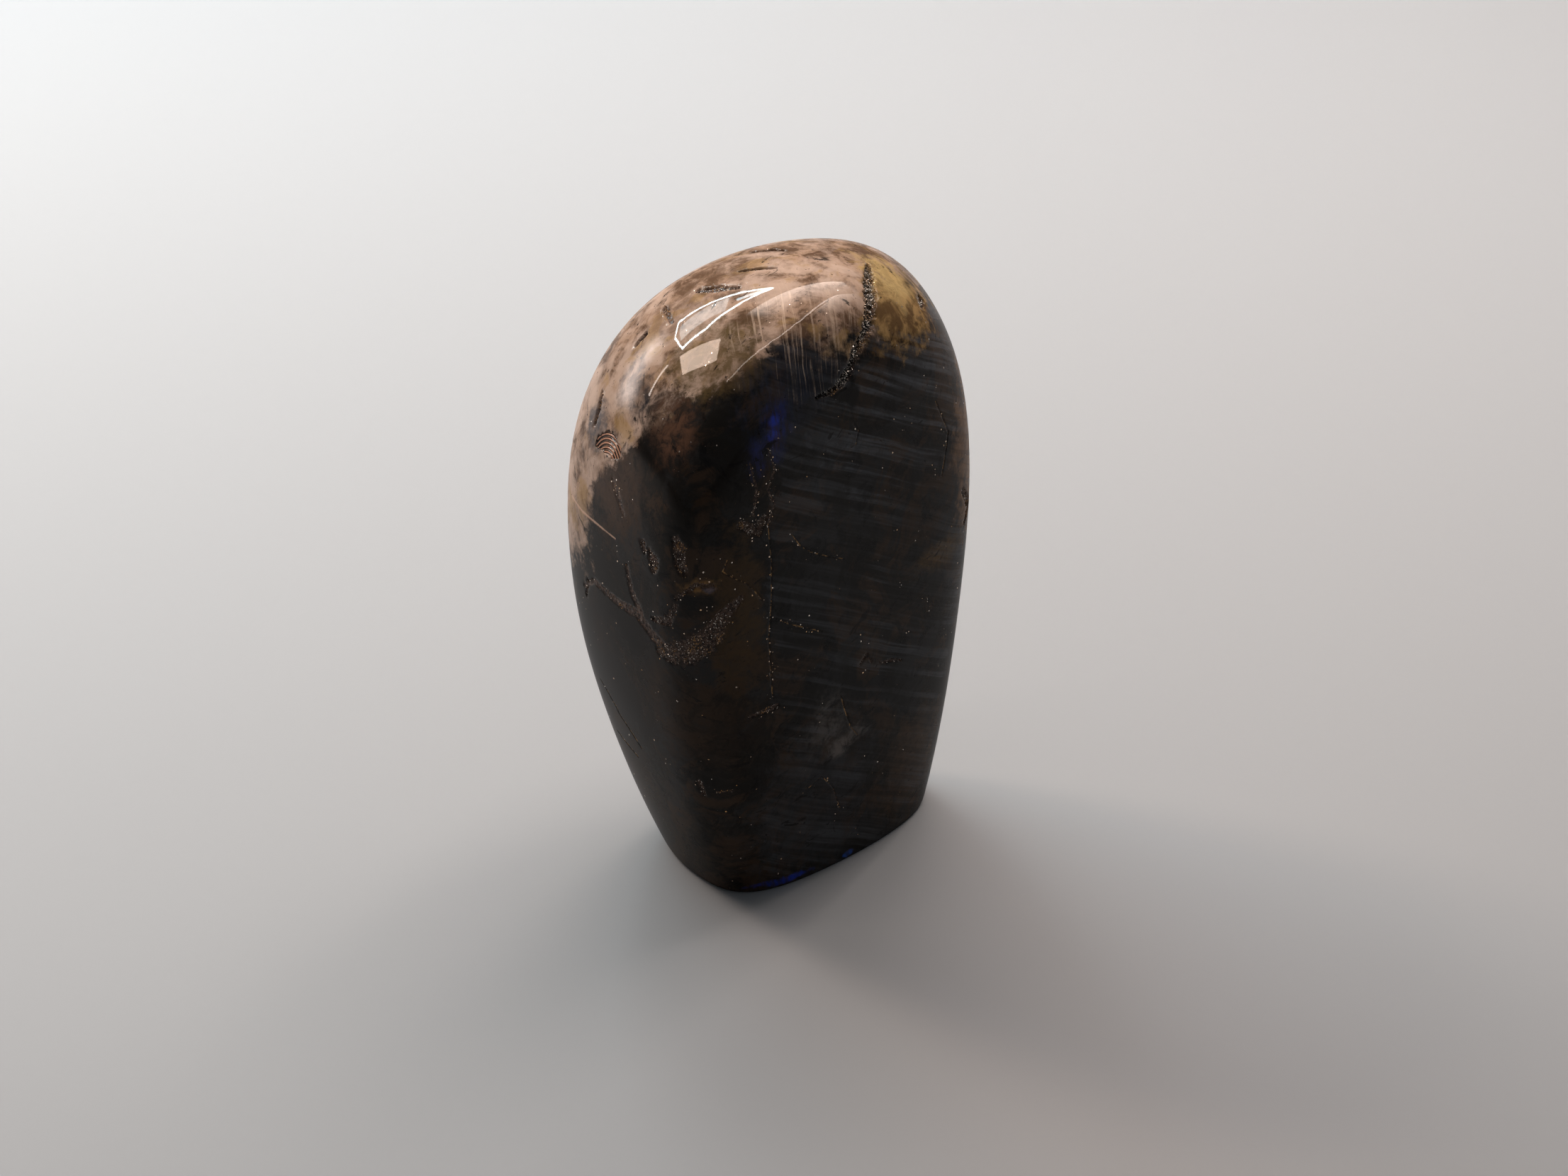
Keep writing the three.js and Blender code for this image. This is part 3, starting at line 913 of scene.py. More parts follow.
@dataclass(frozen=True)
class LabradoriteFinish:
    """Polished labradorite: dark feldspar and warm clouds; its silky sheets, tan crown and blue flash are
    partly painted sheen and light.
    """

    charcoal: Shade = Shade(29, 26, 23)
    slate: Shade = Shade(41, 40, 40)
    umber: Shade = Shade(57, 43, 32)
    # Coal is both a real dark patch colour and the painted shade in deep flaws.
    coal_and_depth_shade: Shade = Shade(15, 14, 13)
    # Tan of the crown: partly the stone's own colour, partly painted light where the key lamp falls.
    lit_tan: Shade = Shade(170, 142, 121)
    blush: Shade = Shade(196, 171, 154)
    fawn: Shade = Shade(98, 75, 58)
    straw: Shade = Shade(166, 134, 88)
    olive: Shade = Shade(102, 78, 50)
    # Ridges of the ripple patch: partly reddish colour, partly painted highlight.
    ridge_rust_and_highlight: Shade = Shade(196, 146, 120)
    soot: Shade = Shade(22, 19, 18)
    # Silky sheets: partly real banding, partly painted sheen.
    silk_sheen: Shade = Shade(98, 101, 107)
    # Silky hairlines: partly real, partly painted sheen.
    hair_sheen: Shade = Shade(234, 208, 184)
    glint: Shade = Shade(252, 244, 234)
    gold: Shade = Shade(214, 164, 104)
    broken: Shade = Shade(92, 74, 64)
    pit: Shade = Shade(38, 30, 27)
    frost: Shade = Shade(140, 120, 108)
    # Painted highlight colour of the pale line on the left shoulder.
    seam: Shade = Shade(206, 172, 150)
    # The tan side faces the key lamp: partly the stone's own tan, partly painted light; the clouds widen
    # it.
    lit_tan_side: Side = Side((-0.55, 0.45, 0.70), 58.6, 1.2)
    lit_tan_clouds: tuple[Cloud, ...] = (
        Cloud((9.0, -8.0, 98.0), (9.0, 9.5, 6.0), None, 1.0, 0.35, 0.15),
        Cloud((-31.0, -4.0, 62.5), (4.2, 7.5, 9.5), None, 0.9, 0.35, 0.3),
    )
    straw_side: Side = Side((0.665, -0.20, 0.718), 78.4, 1.5)
    straw_right: Side = Side((0.98, 0.20, 0.0), 14.6, 0.8)
    bright_straw: Cloud = Cloud((18.5, 9.0, 97.0), (7, 9, 4.5), Shade(206, 178, 122), 0.85, 0.5)
    # The right half, where the silky sheets show their painted sheen.
    silk_sheen_side: Side = Side((0.96, 0.27, 0.0), -6.2, 0.6)
    bright_silk_sheen: Cloud = Cloud((21.0, -6.0, 80.0), (20, 18, 13), None, 1.0, 0.4)
    broad_sheets: Sheets = Sheets((0.33, 0.33, 0.88), 0.95, 30.0)
    narrow_sheets: Sheets = Sheets((0.33, 0.33, 0.88), 0.30, 16.0)
    hair_sheets: Sheets = Sheets((0.98, 0.10, 0.066), 0.40, 24.0)
    flash_sheets: Sheets = Sheets((0.98, 0.10, 0.066), 0.8, 4.0)
    soot_sheets: Sheets = Sheets((0.3, -0.5, 0.8), 1.8, 5.0)
    hair_heart: Cloud = Cloud((4.5, -13.0, 96.5), (9.0, 10.0, 8.5), None, 1.0, 0.5, 0.7)
    under: tuple[Cloud, ...] = (
        Cloud((-24, -14, 44), (15, 14, 21), Shade(19, 18, 17), 0.85, 0.4),
        Cloud((-24, -17, 72.5), (7.5, 9, 7), Shade(78, 60, 48), 0.75, 0.4),
        Cloud((-4.6, -29.0, 54), (4.3, 7, 15), Shade(72, 54, 33), 0.85, 0.3),
        Cloud((-12, -28, 37), (10, 8, 9), Shade(54, 40, 29), 0.65, 0.5),
        Cloud((-17, -14, 12), (12, 10, 12), Shade(58, 47, 37), 0.6, 0.5),
        Cloud((8, -17, 13), (12, 10, 13), Shade(58, 59, 62), 0.6, 0.4),
        Cloud((5, -18, 91), (8, 6, 5), Shade(50, 52, 60), 0.7, 0.5),
        Cloud((8.6, -16, 29), (3.2, 4, 4.6), Shade(96, 90, 86), 0.7, 0.6, 0.9),
        Cloud((12.5, -13, 24), (3.4, 4, 2.2), Shade(112, 104, 98), 0.8, 0.6, 0.9),
        Cloud((23, 0, 12), (6, 8, 9), Shade(80, 61, 45), 0.6, 0.5),
        Cloud((27, 3, 50), (4.2, 6, 2.2), Shade(112, 86, 52), 0.6, 0.6),
        # The right end's rim: partly reddish-tan colour, partly a painted reflection along the edge.
        Cloud((33.6, 11, 72), (4.0, 12, 22), Shade(126, 94, 66), 0.8, 0.3),
        Cloud((-16, 24, 40), (14, 9, 16), Shade(70, 52, 36), 0.7, 0.4),
        Cloud((16, 31, 34), (11, 9, 15), Shade(64, 67, 71), 0.6, 0.5),
        Cloud((6, 31, 72), (12, 9, 10), Shade(106, 82, 50), 0.7, 0.4),
    )
    over: tuple[Cloud, ...] = (
        Cloud((2.0, 24.0, 92.0), (26.0, 15.0, 17.0), Shade(92, 72, 56), 0.8, 0.6, 0.8),
        Cloud((-9.0, 3.5, 98.0), (10.0, 5.5, 3.6), Shade(98, 76, 58), 0.75, 0.6, 0.7),
        Cloud((-15.5, -3.5, 94.0), (5.5, 5.0, 4.5), Shade(116, 92, 74), 0.65, 0.6, 0.7),
        Cloud((-3.5, -14.0, 97.0), (3.6, 4.2, 2.6), Shade(76, 60, 44), 0.8, 0.5, 0.6),
        Cloud((-8.5, -17.5, 93.0), (7.8, 7.5, 5.6), Shade(88, 72, 46), 0.9, 0.4),
        Cloud((-16.0, -22.0, 83.2), (5.6, 7.5, 6.8), Shade(27, 24, 22), 0.92, 0.25),
        Cloud((-14.2, -23.0, 84.2), (3.6, 6.0, 4.4), Shade(100, 72, 56), 0.75, 0.5, 0.9),
        Cloud((-19.5, -13.5, 84.0), (2.0, 4.0, 5.0), Shade(44, 44, 48), 0.8, 0.3),
        Cloud((-26.6, -7.5, 77.0), (2.2, 4.0, 4.2), Shade(66, 68, 74), 0.85, 0.3),
        Cloud((-10.6, -31.4, 61.6), (3.0, 2.0, 1.2), Shade(150, 112, 66), 0.75, 0.5, 0.9),
        Cloud((-10.4, -31.4, 58.6), (3.2, 2.4, 2.2), Shade(25, 24, 23), 0.95, 0.25),
        Cloud((-9.0, -31.4, 61.3), (1.0, 1.4, 0.5), Shade(92, 100, 128), 0.5, 0.6),
        Cloud((12.6, -13.8, 85.2), (1.1, 2.0, 2.6), Shade(20, 18, 17), 0.95, 0.3),
    )
    # Blue flash: painted blue sheen, partly a real metallic reflection through the shine.
    flashes: tuple[Cloud, ...] = (
        Cloud((0.4, -22.5, 87.5), (4.6, 6, 6.5), Shade(56, 64, 86), 0.5, 0.8),
        Cloud((0.9, -24.0, 84.8), (1.7, 3, 3.8), Shade(50, 60, 130), 0.7, 0.7),
        Cloud((0.7, -24.4, 83.6), (0.9, 2, 0.9), Shade(62, 84, 214), 0.9, 0.7),
        Cloud((0.9, -23.9, 86.0), (0.7, 2, 0.7), Shade(62, 80, 200), 0.8, 0.7),
        Cloud((-1.8, -26.8, 80.8), (1.4, 3, 2.6), Shade(52, 58, 120), 0.65, 0.7),
        Cloud((2.4, -18.8, 1.4), (5.4, 3.4, 0.6), Shade(44, 76, 215), 0.9, 0.6),
        Cloud((12.4, -10.2, 1.1), (0.9, 1.0, 0.6), Shade(60, 120, 235), 0.9, 0.5),
        Cloud((-13, 22, 47), (5, 7, 9), Shade(44, 66, 150), 0.6, 0.8, 0.9),
        Cloud((28, 20, 56), (5, 6, 10), Shade(50, 74, 140), 0.45, 0.8, 0.9),
    )
    far_shake: Pair = (7.0, 5.0)
    near_shake: Pair = (3.0, 1.6)
    sheet_bow: Pair = (30.0, 2.6)
    hair_bow: Pair = (12.0, 1.6)
    edge_lumps: Lumps = Lumps(3.2, 8.0, 0.68, 0.3)
    veil_patches: Patches = Patches(Lumps(2.4, 8.0, 0.72, 0.5, (17, 3, 29)), 0.38, 0.60)
    slate_patches: Patches = Patches(Lumps(12.0, 7.0, 0.64, 0.6), 0.44, 0.58)
    umber_patches: Patches = Patches(Lumps(9.0, 8.0, 0.66, 1.0, (31, 7, 5)), 0.47, 0.62)
    coal_patches: Patches = Patches(Lumps(5.0, 8.0, 0.68, 0.8, (3, 70, 12)), 0.52, 0.62, 0.8)
    tan_patches: Patches = Patches(Lumps(3.6, 8.0, 0.66, 0.6, (9, 40, 3)), 0.40, 0.60)
    blush_patches: Patches = Patches(Lumps(8.0, 6.0, 0.6, 0.4, (5, 2, 60)), 0.42, 0.58, 0.8)
    straw_patches: Patches = Patches(Lumps(8.0, 6.0, 0.6, 0.4, (55, 12, 6)), 0.53, 0.62, 0.6)
    silk_patches: Patches = Patches(Lumps(15.0, 4.0, 0.5, 0.3, (2, 9, 4)), 0.42, 0.60, 0.45)
    broad_silk: Lumps = Lumps(1.0, 2.0, 0.5)
    narrow_silk: Lumps = Lumps(1.0, 3.0, 0.6)
    silk_levels: Pair = (0.46, 0.66)
    gap_levels: Pair = (0.50, 0.38)
    gap_strength: float = 0.3
    least_narrow: float = 0.1
    silk_in_patches: Pair = (0.12, 0.9)
    least_silk: float = 0.06
    hair_patches: Patches = Patches(Lumps(1.0, 3.0, 0.7), 0.53, 0.66, 0.48)
    flash_patches: Patches = Patches(Lumps(1.0, 4.0, 0.65, 0.3), 0.36, 0.64)
    least_flash: float = 0.15
    flash_shine: float = 0.6
    soot_streaks: Patches = Patches(Lumps(1.0, 7.0, 0.7, 0.8), 0.60, 0.66, 0.85)
    soot_specks: Patches = Patches(Lumps(0.8, 3.0, 0.6, 0.5, (2, 50, 9)), 0.66, 0.72, 0.8)
    flecks_each_mm: float = 2.3
    fleck_sizes: Pair = (0.13, 0.40)
    fleck_edge: float = 0.1
    fleck_lanes: Patches = Patches(Lumps(4.0, 6.0, 0.7, 0.8, (8, 3, 41)), 0.58, 0.66, 0.2)
    flecks_in_flaws: float = 0.36
    flecks_elsewhere: float = 0.006
    crystal_lumps: Lumps = Lumps(0.6, 5.0, 0.7)
    broken_levels: Pair = (0.40, 0.58)
    frost_levels: Pair = (0.60, 0.68)
    # Painted shade: how deep a flaw must be to darken toward coal, and how strongly.
    depth_shade_levels: Pair = (0.5, 1.2)
    depth_shade_strength: float = 0.9
    rough_cover: float = 0.9
    crack_reach: Pair = (0.15, 0.05)
    crack_light: Patches = Patches(Lumps(1.4, 4.0, 0.7), 0.46, 0.60)
    crack_cover: float = 0.6
    painted_highlight_cover: float = 0.8
    groove_levels: Pair = (0.05, 0.25)
    # Where the ripple ridges take their painted highlight.
    ridge_highlight_levels: Pair = (0.45, 0.90)
    chip_lumps: Lumps = Lumps(0.3, 2.0)
    chip_levels: Pair = (0.52, 0.62)
    chip_luck_deep: float = 0.14
    gold_chips: Patches = Patches(Lumps(3.5), 0.5, 0.6, 0.6)
    chip_cover: float = 0.9
    chip_shine: float = 0.8
    polish_roughness: float = 0.2
    broken_roughness: float = 0.42
    ripple_roughness: float = 0.4
    grit_lumps: Lumps = Lumps(0.16, 2.0, 0.6)
    grit_strength: float = 0.5
    grit_height: float = 0.08
    coat_weight: float = 0.30
    coat_roughness: float = 0.03
    stone_ior: float = 1.5

    def material(self) -> bpy.types.Material:
        """Build the finish and return its material."""
        bench = MaterialBench("labradorite")
        grain = bench.math("SUBTRACT", bench.noise(self.edge_lumps), 0.5)
        veil = bench.patches(self.veil_patches)
        far = Limits(bench, bench.shake(*self.far_shake), grain, veil)
        near = Limits(bench, bench.shake(*self.near_shake), grain, veil)
        colour = self._body(bench)
        for cloud in self.under:
            colour = bench.tint(far.cloud(cloud), colour, cloud.shade)
        colour = self._silk_sheen(bench, colour, far)
        colour = self._warm(bench, colour, far)
        for cloud in self.over:
            colour = bench.tint(near.cloud(cloud), colour, cloud.shade)
        colour = self._hair_sheen(bench, colour, near)
        colour, shine = self._flash(bench, colour, near)
        colour = self._soot(bench, colour)
        colour, shine = self._flecks(bench, colour, shine)
        colour = self._flaws(bench, colour)
        colour, shine = self._chips(bench, colour, shine)
        return self._surface(bench, colour, shine)

    def _body(self, bench: Bench) -> Socket:
        """Return the dark body: charcoal, slate, umber and coal in clouds."""
        colour = bench.tint(bench.patches(self.slate_patches), self.charcoal, self.slate)
        colour = bench.tint(bench.patches(self.umber_patches), colour, self.umber)
        return bench.tint(bench.patches(self.coal_patches), colour, self.coal_and_depth_shade)

    def _silk_sheen(self, bench: Bench, colour: Socket, inside: Limits) -> Socket:
        """Lay the silky sheets of the right half over the body: partly real banding, partly painted
        sheen.
        """
        bowed = bench.shake(*self.sheet_bow)
        broad = bench.noise(self.broad_silk, bench.sheets(self.broad_sheets, bowed))
        narrow = bench.noise(self.narrow_silk, bench.sheets(self.narrow_sheets, bowed))
        narrow = bench.span(narrow, self.least_narrow, 1.0)
        bands = bench.times(bench.step(broad, *self.silk_levels), narrow)
        patch = bench.most(bench.patches(self.silk_patches), inside.cloud(self.bright_silk_sheen))
        right = inside.side(self.silk_sheen_side)
        share = bench.times(bands, bench.span(patch, *self.silk_in_patches))
        share = bench.times(share, bench.span(right, self.least_silk, 1.0))
        dark = bench.times(bench.step(broad, *self.gap_levels), self.gap_strength)
        colour = bench.tint(bench.times(dark, right), colour, self.coal_and_depth_shade)
        return bench.tint(share, colour, self.silk_sheen)

    def _warm(self, bench: Bench, colour: Socket, inside: Limits) -> Socket:
        """Lay the tan crown and shoulder, partly own colour and partly painted light, and the straw
        corner over the body.
        """
        mottle = bench.patches(self.tan_patches)
        warm = bench.tint(mottle, self.fawn, self.lit_tan)
        warm = bench.tint(bench.patches(self.blush_patches), warm, self.blush)
        warm = bench.tint(bench.patches(self.straw_patches), warm, self.straw)
        lit_tan = inside.side(self.lit_tan_side)
        for cloud in self.lit_tan_clouds:
            lit_tan = bench.most(lit_tan, inside.cloud(cloud))
        colour = bench.tint(lit_tan, colour, warm)
        straw = bench.tint(mottle, self.olive, self.straw)
        straw = bench.tint(inside.cloud(self.bright_straw), straw, self.bright_straw.shade)
        corner = bench.times(inside.side(self.straw_side), inside.side(self.straw_right))
        return bench.tint(corner, colour, straw)

    def _hair_sheen(self, bench: Bench, colour: Socket, inside: Limits) -> Socket:
        """Lay bright silky hairlines down the crown's front: partly real, partly painted sheen."""
        places = bench.sheets(self.hair_sheets, bench.shake(*self.hair_bow))
        share = bench.times(bench.patches(self.hair_patches, places), inside.cloud(self.hair_heart))
        return bench.tint(share, colour, self.hair_sheen)

    def _flash(self, bench: Bench, colour: Socket, inside: Limits) -> tuple[Socket, Socket]:
        """Lay the blue flash, a painted blue sheen that is partly metallic, over the colour.

        Args:
            bench: The bench.
            colour: The colour below.
            inside: The limits of the clouds.

        Returns:
            The colour, and how metallic each place is.
        """
        shine: Amount = 0.0
        streak = bench.patches(self.flash_patches, bench.sheets(self.flash_sheets))
        streak = bench.span(streak, self.least_flash, 1.0)
        for cloud in self.flashes:
            share = bench.times(inside.cloud(cloud), streak)
            colour = bench.tint(share, colour, cloud.shade)
            shine = bench.most(shine, share)
        return colour, bench.times(shine, self.flash_shine)

    def _soot(self, bench: Bench, colour: Socket) -> Socket:
        """Lay dark inclusions over the colour, as streaks and small specks."""
        streaks = bench.patches(self.soot_streaks, bench.sheets(self.soot_sheets))
        colour = bench.tint(streaks, colour, self.soot)
        return bench.tint(bench.patches(self.soot_specks), colour, self.soot)

    def _flecks(self, bench: Bench, colour: Socket, shine: Socket) -> tuple[Socket, Socket]:
        """Lay bright flecks along the flaws, and a few over the whole stone.

        Args:
            bench: The bench.
            colour: The colour below.
            shine: How metallic each place is already.

        Returns:
            The colour, and how metallic each place is.
        """
        cells = bench.node("ShaderNodeTexVoronoi")
        bench.feed(cells.inputs["Vector"], bench.place)
        cells.inputs["Scale"].default_value = self.flecks_each_mm
        pick = bench.node("ShaderNodeSeparateColor")
        bench.feed(pick.inputs[0], cells.outputs["Color"])
        size = bench.span(pick.outputs["Blue"], *self.fleck_sizes)
        inner = bench.math("SUBTRACT", size, cells.outputs["Distance"])
        chance = bench.times(bench.attribute("glints"), self.flecks_in_flaws)
        chance = bench.plus(chance, self.flecks_elsewhere)
        chance = bench.plus(chance, bench.patches(self.fleck_lanes))
        picked = bench.math("LESS_THAN", pick.outputs["Red"], chance)
        fleck = bench.times(bench.step(inner, 0.0, self.fleck_edge), picked)
        shade = bench.tint(pick.outputs["Green"], self.gold, self.glint)
        return bench.tint(fleck, colour, shade), bench.most(shine, fleck)

    def _depth_shade(self, bench: Bench) -> Socket:
        """Return how much painted shade a flaw's depth lays on each place, from 0 to 1."""
        return bench.step(bench.attribute("sunk"), *self.depth_shade_levels)

    def _flaws(self, bench: Bench, colour: Socket) -> Socket:
        """Lay rough places with painted shade in their depths, cracks, the painted highlight line and
        ripples over the colour.
        """
        fine = bench.noise(self.crystal_lumps)
        crystals = bench.tint(bench.step(fine, *self.broken_levels), self.pit, self.broken)
        crystals = bench.tint(bench.step(fine, *self.frost_levels), crystals, self.frost)
        depth_shade = bench.times(self._depth_shade(bench), self.depth_shade_strength)
        crystals = bench.tint(depth_shade, crystals, self.coal_and_depth_shade)
        cover = bench.times(bench.attribute("rough"), self.rough_cover)
        colour = bench.tint(cover, colour, crystals)
        crack = bench.step(bench.attribute("crack"), *self.crack_reach)
        crack_shade = bench.tint(bench.patches(self.crack_light), self.soot, self.gold)
        colour = bench.tint(bench.times(crack, self.crack_cover), colour, crack_shade)
        seam = bench.times(bench.attribute("seam"), self.painted_highlight_cover)
        colour = bench.tint(seam, colour, self.seam)
        step = bench.attribute("step")
        colour = bench.tint(bench.step(step, *self.groove_levels), colour, self.soot)
        return bench.tint(bench.step(step, *self.ridge_highlight_levels), colour, self.ridge_rust_and_highlight)

    def _chips(self, bench: Bench, colour: Socket, shine: Socket) -> tuple[Socket, Socket]:
        """Dress the crystal chips: painted shade in the depths, with bright mirrors and gold among them.

        Args:
            bench: The bench.
            colour: The colour of the stone around them.
            shine: How metallic each place is already.

        Returns:
            The colour, and how metallic each place is.
        """
        grain, depth_shade = bench.attribute("grain"), self._depth_shade(bench)
        luck = bench.plus(bench.noise(self.chip_lumps), bench.times(depth_shade, self.chip_luck_deep))
        bright = bench.step(luck, *self.chip_levels)
        chips = bench.tint(bench.times(depth_shade, self.depth_shade_strength), self.broken, self.coal_and_depth_shade)
        chips = bench.tint(bright, chips, self.glint)
        chips = bench.tint(bench.patches(self.gold_chips), chips, self.gold)
        mirrors = bench.times(bench.times(grain, bright), self.chip_shine)
        colour = bench.tint(bench.times(grain, self.chip_cover), colour, chips)
        return colour, bench.most(shine, mirrors)

    def _surface(self, bench: MaterialBench, colour: Socket, shine: Socket) -> bpy.types.Material:
        """Close the recipe with the polished surface, broken in the flaws.

        Args:
            bench: The bench.
            colour: The stone's colour.
            shine: How metallic each place is.

        Returns:
            The finished material.
        """
        rough = bench.attribute("rough")
        ripple = bench.times(bench.attribute("step"), self.ripple_roughness)
        broken = bench.span(bench.most(rough, ripple), self.polish_roughness, self.broken_roughness)
        bump = bench.node("ShaderNodeBump")
        bump.inputs["Strength"].default_value = self.grit_strength
        bump.inputs["Distance"].default_value = self.grit_height * MM
        bench.feed(bump.inputs["Height"], bench.times(bench.noise(self.grit_lumps), rough))
        face = bench.node("ShaderNodeBsdfPrincipled")
        for name, value in (
            ("Base Color", colour), ("Metallic", shine), ("Roughness", broken),
            ("Specular IOR Level", 0.0), ("Coat Weight", self.coat_weight),
            ("Coat Roughness", self.coat_roughness), ("Coat IOR", self.stone_ior),
            ("Normal", bump.outputs["Normal"]),
        ):
            bench.feed(face.inputs[name], value)
        end = bench.node("ShaderNodeOutputMaterial")
        bench.feed(end.inputs["Surface"], face.outputs["BSDF"])
        return bench.material


@dataclass
class PolishedStone:
    """The whole stone: its fine mesh, its crystal grains and its finish."""

    skin: Skin = field(default_factory=Skin)
    flaws: Flaws = field(default_factory=Flaws)
    grains: GrainSizes = field(default_factory=GrainSizes)
    finish: LabradoriteFinish = field(default_factory=LabradoriteFinish)

    def build(self) -> bpy.types.Object:
        """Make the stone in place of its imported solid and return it."""
        fine = SkinMesh(self.skin, self.flaws)
        points, found = fine.finished()
        mesh = bpy.data.meshes.new("polished_labradorite")
        mesh.from_pydata(points * MM, [], fine.triangles.tolist())
        for name in ("sunk", "rough", "step", "grains", "glints", "seam", "crack"):
            values = getattr(found, name).astype(np.float32)
            mesh.attributes.new(name, "FLOAT", "POINT").data.foreach_set("value", values)
        mesh.shade_smooth()
        mesh.update()
        piece = bpy.data.objects.new("polished_labradorite", mesh)
        bpy.context.scene.collection.objects.link(piece)
        GrainTree(self.grains, self.finish.material()).apply(piece)
        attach(piece, BODY)
        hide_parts(NODE)
        return piece


@dataclass(frozen=True)
class Lamp:
    """A flat lamp along a line, in metres, that looks down or at the stone.

    Its glow may fall off across it by a power, and toward its ends and sides over a share of it.
    """

    start: Triple
    end: Triple
    width: float
    glow: float
    tint: Triple = (1.0, 1.0, 1.0)
    fade: float = 0.0
    soft_ends: float = 0.0
    soft_sides: float = 0.0
    looks_down: bool = True


AMBER: Triple = (1.0, 0.78, 0.64)
WARM: Triple = (1.0, 0.85, 0.76)
COOL: Triple = (0.86, 0.97, 1.0)
BLUSH: Triple = (1.0, 0.88, 0.83)


@dataclass(frozen=True)
class LightBox:
    """A level light box with a bright rim around a dim middle."""

    height: float = 0.5
    corners: tuple[tuple[float, float], ...] = (
        (-0.100, 0.531), (-0.205, 0.578), (-0.340, 0.622), (-0.560, 0.688), (-0.624, 0.600),
        (-0.580, 0.455), (-0.378, 0.413), (-0.235, 0.455),
    )
    rim: float = 0.015
    rim_glow: float = 50.0
    middle: tuple[tuple[float, float], tuple[float, float]] = ((-0.57, 0.575), (-0.26, 0.52))
    middle_width: float = 0.12
    middle_glow: float = 8.0
    tip: tuple[tuple[float, float], tuple[float, float]] = ((-0.225, 0.515), (-0.11, 0.525))
    tip_width: float = 0.026
    tip_glow: float = 22.0

    def lamps(self) -> list[Lamp]:
        """Return the lamps of the box: its rim, its middle and its bright tip."""
        def flat(corner: tuple[float, float]) -> Triple:
            """Return a corner at the box's height."""
            return (corner[0], corner[1], self.height)

        ends = zip(self.corners, self.corners[1:] + self.corners[:1])
        rim = [Lamp(flat(a), flat(b), self.rim, self.rim_glow, COOL) for a, b in ends]
        middle = Lamp(flat(self.middle[0]), flat(self.middle[1]), self.middle_width,
                      self.middle_glow, COOL)
        tip = Lamp(flat(self.tip[0]), flat(self.tip[1]), self.tip_width, self.tip_glow, COOL)
        return rim + [middle, tip]


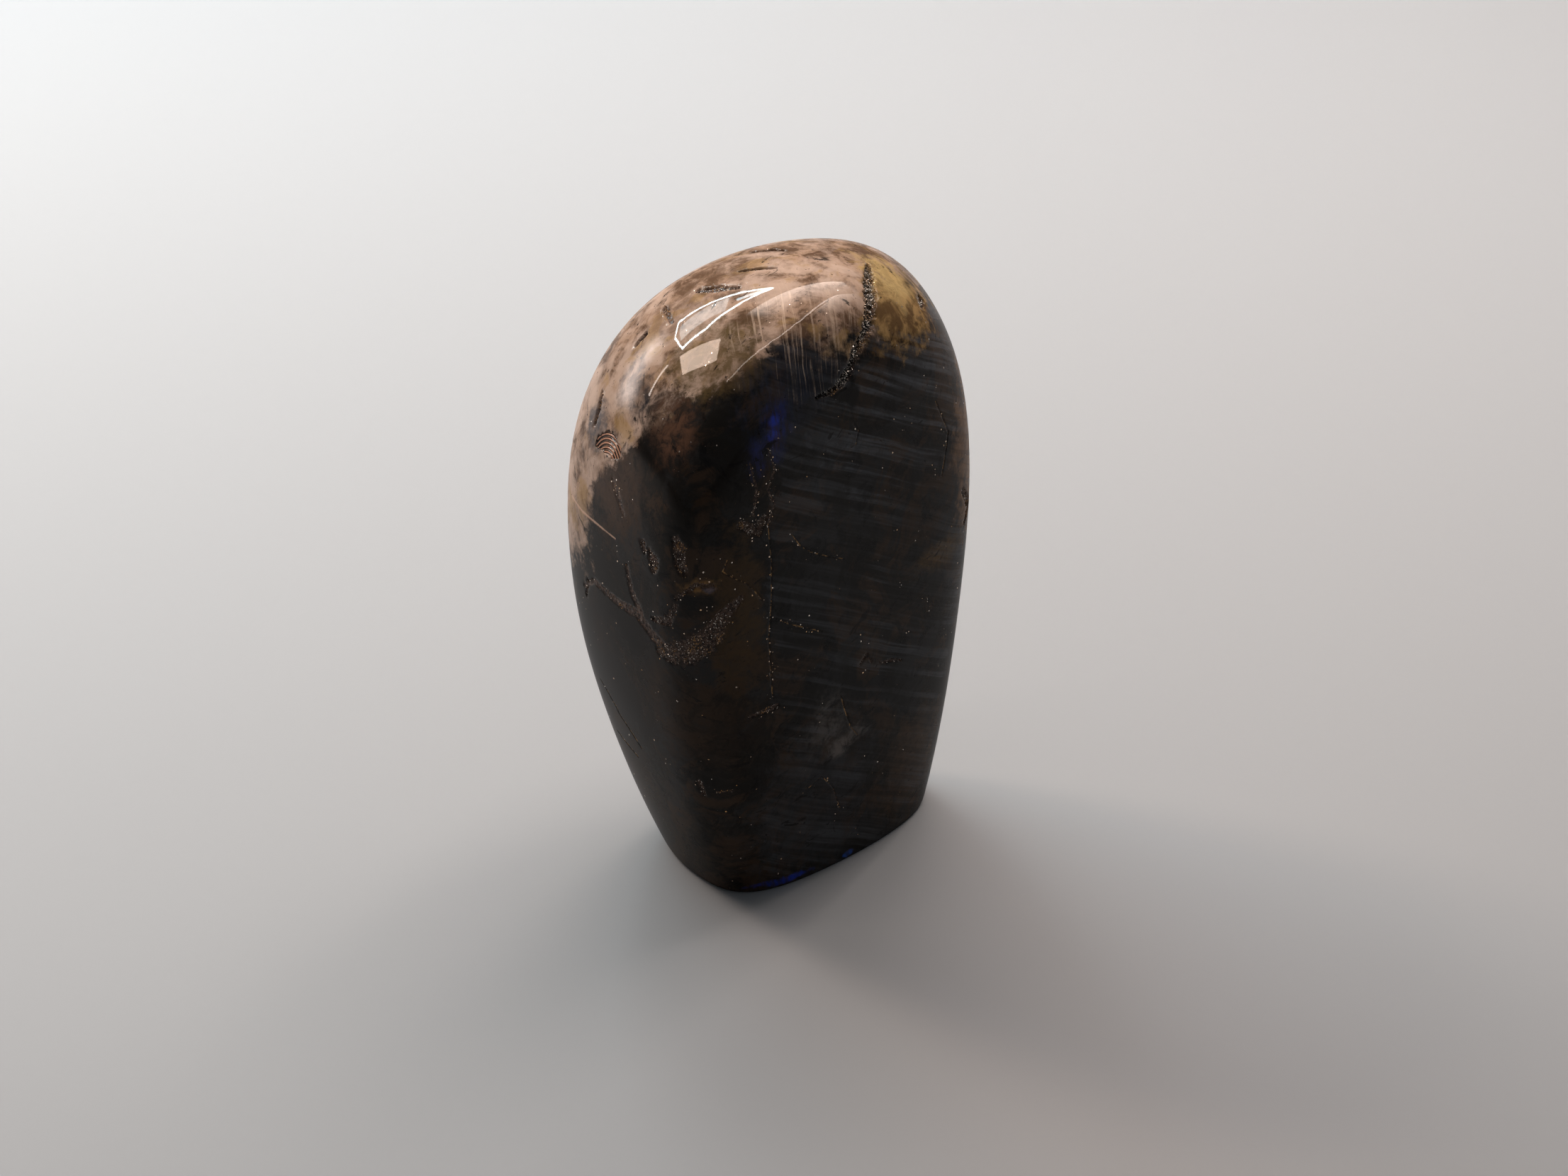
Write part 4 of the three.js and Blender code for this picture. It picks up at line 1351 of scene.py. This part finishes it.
@dataclass(frozen=True)
class Studio:
    """The pale floor, the soft lamps and the camera."""

    floor_reach: float = 6.0
    floor_shade: Shade = Shade(152, 156, 160)
    floor_roughness: float = 0.6
    sky_shade: Shade = Shade(200, 202, 205)
    sky_strength: float = 0.22
    focal: float = 85.0
    sensor: float = 36.0
    watts: float = 4.0
    camera_elevation: float = 28.0
    camera_distance: float = 0.59
    camera_aim: Triple = (0.0022, -0.0042, 0.047)
    heart: Triple = (0.0, 0.0, 0.08)
    box: LightBox = LightBox()
    lamps: tuple[Lamp, ...] = (
        Lamp((-0.650, 0.381, 0.5), (-0.335, 0.243, 0.5), 0.115, 20.0, AMBER),
        Lamp((-0.130, 0.255, 0.5), (0.344, 0.587, 0.5), 0.25, 11.5, WARM, 1.4, 0.08),
        Lamp((0.311, 0.046, 0.5), (0.491, 0.586, 0.5), 0.30, 10.0, WARM, 2.4, 0.25),
        Lamp((-0.235, -0.066, 0.5), (-0.090, -0.030, 0.5), 0.016, 10.0, WARM),
        Lamp((-0.090, -0.030, 0.5), (0.072, 0.012, 0.5), 0.016, 15.0, WARM),
        Lamp((0.072, 0.012, 0.5), (0.140, 0.095, 0.5), 0.016, 17.0, WARM),
        Lamp((0.140, 0.095, 0.5), (0.180, 0.215, 0.5), 0.018, 17.0, WARM),
        Lamp((0.180, 0.215, 0.5), (0.285, 0.400, 0.5), 0.022, 15.0, WARM),
        Lamp((-0.88, 0.49, 0.06), (-0.64, 0.70, 0.50), 0.19, 12.0, BLUSH, 0.0, 0.3, 0.5, False),
        Lamp((-0.87, 0.44, 0.29), (-0.77, 0.50, 0.48), 0.012, 19.0, WARM, looks_down=False),
    )

    def build(self) -> None:
        """Make the floor, the lamps and the camera."""
        self._floor()
        for lamp in self.box.lamps() + list(self.lamps):
            self._lamp(lamp)
        self._sky()
        self._camera()

    def _floor(self) -> None:
        """Lay the plain floor."""
        reach = self.floor_reach
        corners = [(-reach, -reach, 0), (reach, -reach, 0), (reach, reach, 0), (-reach, reach, 0)]
        mesh = bpy.data.meshes.new("floor")
        mesh.from_pydata(corners, [], [(0, 1, 2, 3)])
        floor = bpy.data.objects.new("floor", mesh)
        bpy.context.scene.collection.objects.link(floor)
        bench = MaterialBench("pale_floor")
        face = bench.node("ShaderNodeBsdfPrincipled")
        face.inputs["Base Color"].default_value = self.floor_shade.linear()
        face.inputs["Roughness"].default_value = self.floor_roughness
        end = bench.node("ShaderNodeOutputMaterial")
        bench.feed(end.inputs["Surface"], face.outputs["BSDF"])
        mesh.materials.append(bench.material)

    def _lamp(self, lamp: Lamp) -> None:
        """Hang one soft lamp along its line."""
        begin, end = Vector(lamp.start), Vector(lamp.end)
        middle, along = (begin + end) / 2.0, end - begin
        light = bpy.data.lights.new("soft_lamp", "AREA")
        light.shape = "RECTANGLE"
        light.size, light.size_y = along.length, lamp.width
        light.energy = lamp.glow * self.watts * along.length * lamp.width
        light.color = lamp.tint
        back = Vector((0.0, 0.0, 1.0)) if lamp.looks_down else middle - Vector(self.heart)
        side = along.normalized()
        up = back.cross(side).normalized()
        back = side.cross(up)
        hung = bpy.data.objects.new("soft_lamp", light)
        hung.matrix_world = Matrix((side, up, back)).transposed().to_4x4()
        hung.location = middle
        bpy.context.scene.collection.objects.link(hung)
        if lamp.fade or lamp.soft_ends or lamp.soft_sides:
            self._fade(light, lamp)

    def _fade(self, light: bpy.types.Light, lamp: Lamp) -> None:
        """Let a lamp's glow fall off across it, and toward its ends and sides."""
        light.use_nodes = True
        bench = Bench(light.node_tree)
        where = bench.node("ShaderNodeNewGeometry")
        split = bench.node("ShaderNodeSeparateXYZ")
        bench.feed(split.inputs[0], where.outputs["Parametric"])
        glow = bench.math("POWER", split.outputs["Y"], lamp.fade)
        for axis, soft in (("X", lamp.soft_ends), ("Y", lamp.soft_sides)):
            if soft:
                first = bench.step(split.outputs[axis], 0.0, soft)
                last = bench.step(split.outputs[axis], 1.0, 1.0 - soft)
                glow = bench.math("MULTIPLY", glow, bench.math("MULTIPLY", first, last))
        bench.feed(light.node_tree.nodes["Emission"].inputs["Strength"], glow)

    def _sky(self) -> None:
        """Fill the room with even light."""
        world = bpy.data.worlds.new("studio")
        world.use_nodes = True
        sky = world.node_tree.nodes["Background"]
        sky.inputs["Color"].default_value = self.sky_shade.linear()
        sky.inputs["Strength"].default_value = self.sky_strength
        bpy.context.scene.world = world

    def _camera(self) -> None:
        """Set the camera at the picture's height and distance."""
        rise = math.radians(self.camera_elevation)
        away = Vector((0.0, -math.cos(rise), math.sin(rise))) * self.camera_distance
        lens = bpy.data.cameras.new("camera")
        lens.lens = self.focal
        lens.sensor_width = self.sensor
        camera = bpy.data.objects.new("camera", lens)
        camera.location = Vector(self.camera_aim) + away
        camera.rotation_euler = (-away).to_track_quat("-Z", "Y").to_euler()
        bpy.context.scene.collection.objects.link(camera)
        bpy.context.scene.camera = camera


def main() -> None:
    """Build the studio and the stone, and report each piece."""
    logging.basicConfig(level=logging.INFO, format="%(message)s")
    bpy.context.scene.view_settings.view_transform = "Standard"
    Studio().build()
    LOG.info("studio built")
    stone = PolishedStone().build()
    LOG.info("%s: %d faces", stone.name, len(stone.data.polygons))


if __name__ == "__main__":
    main()
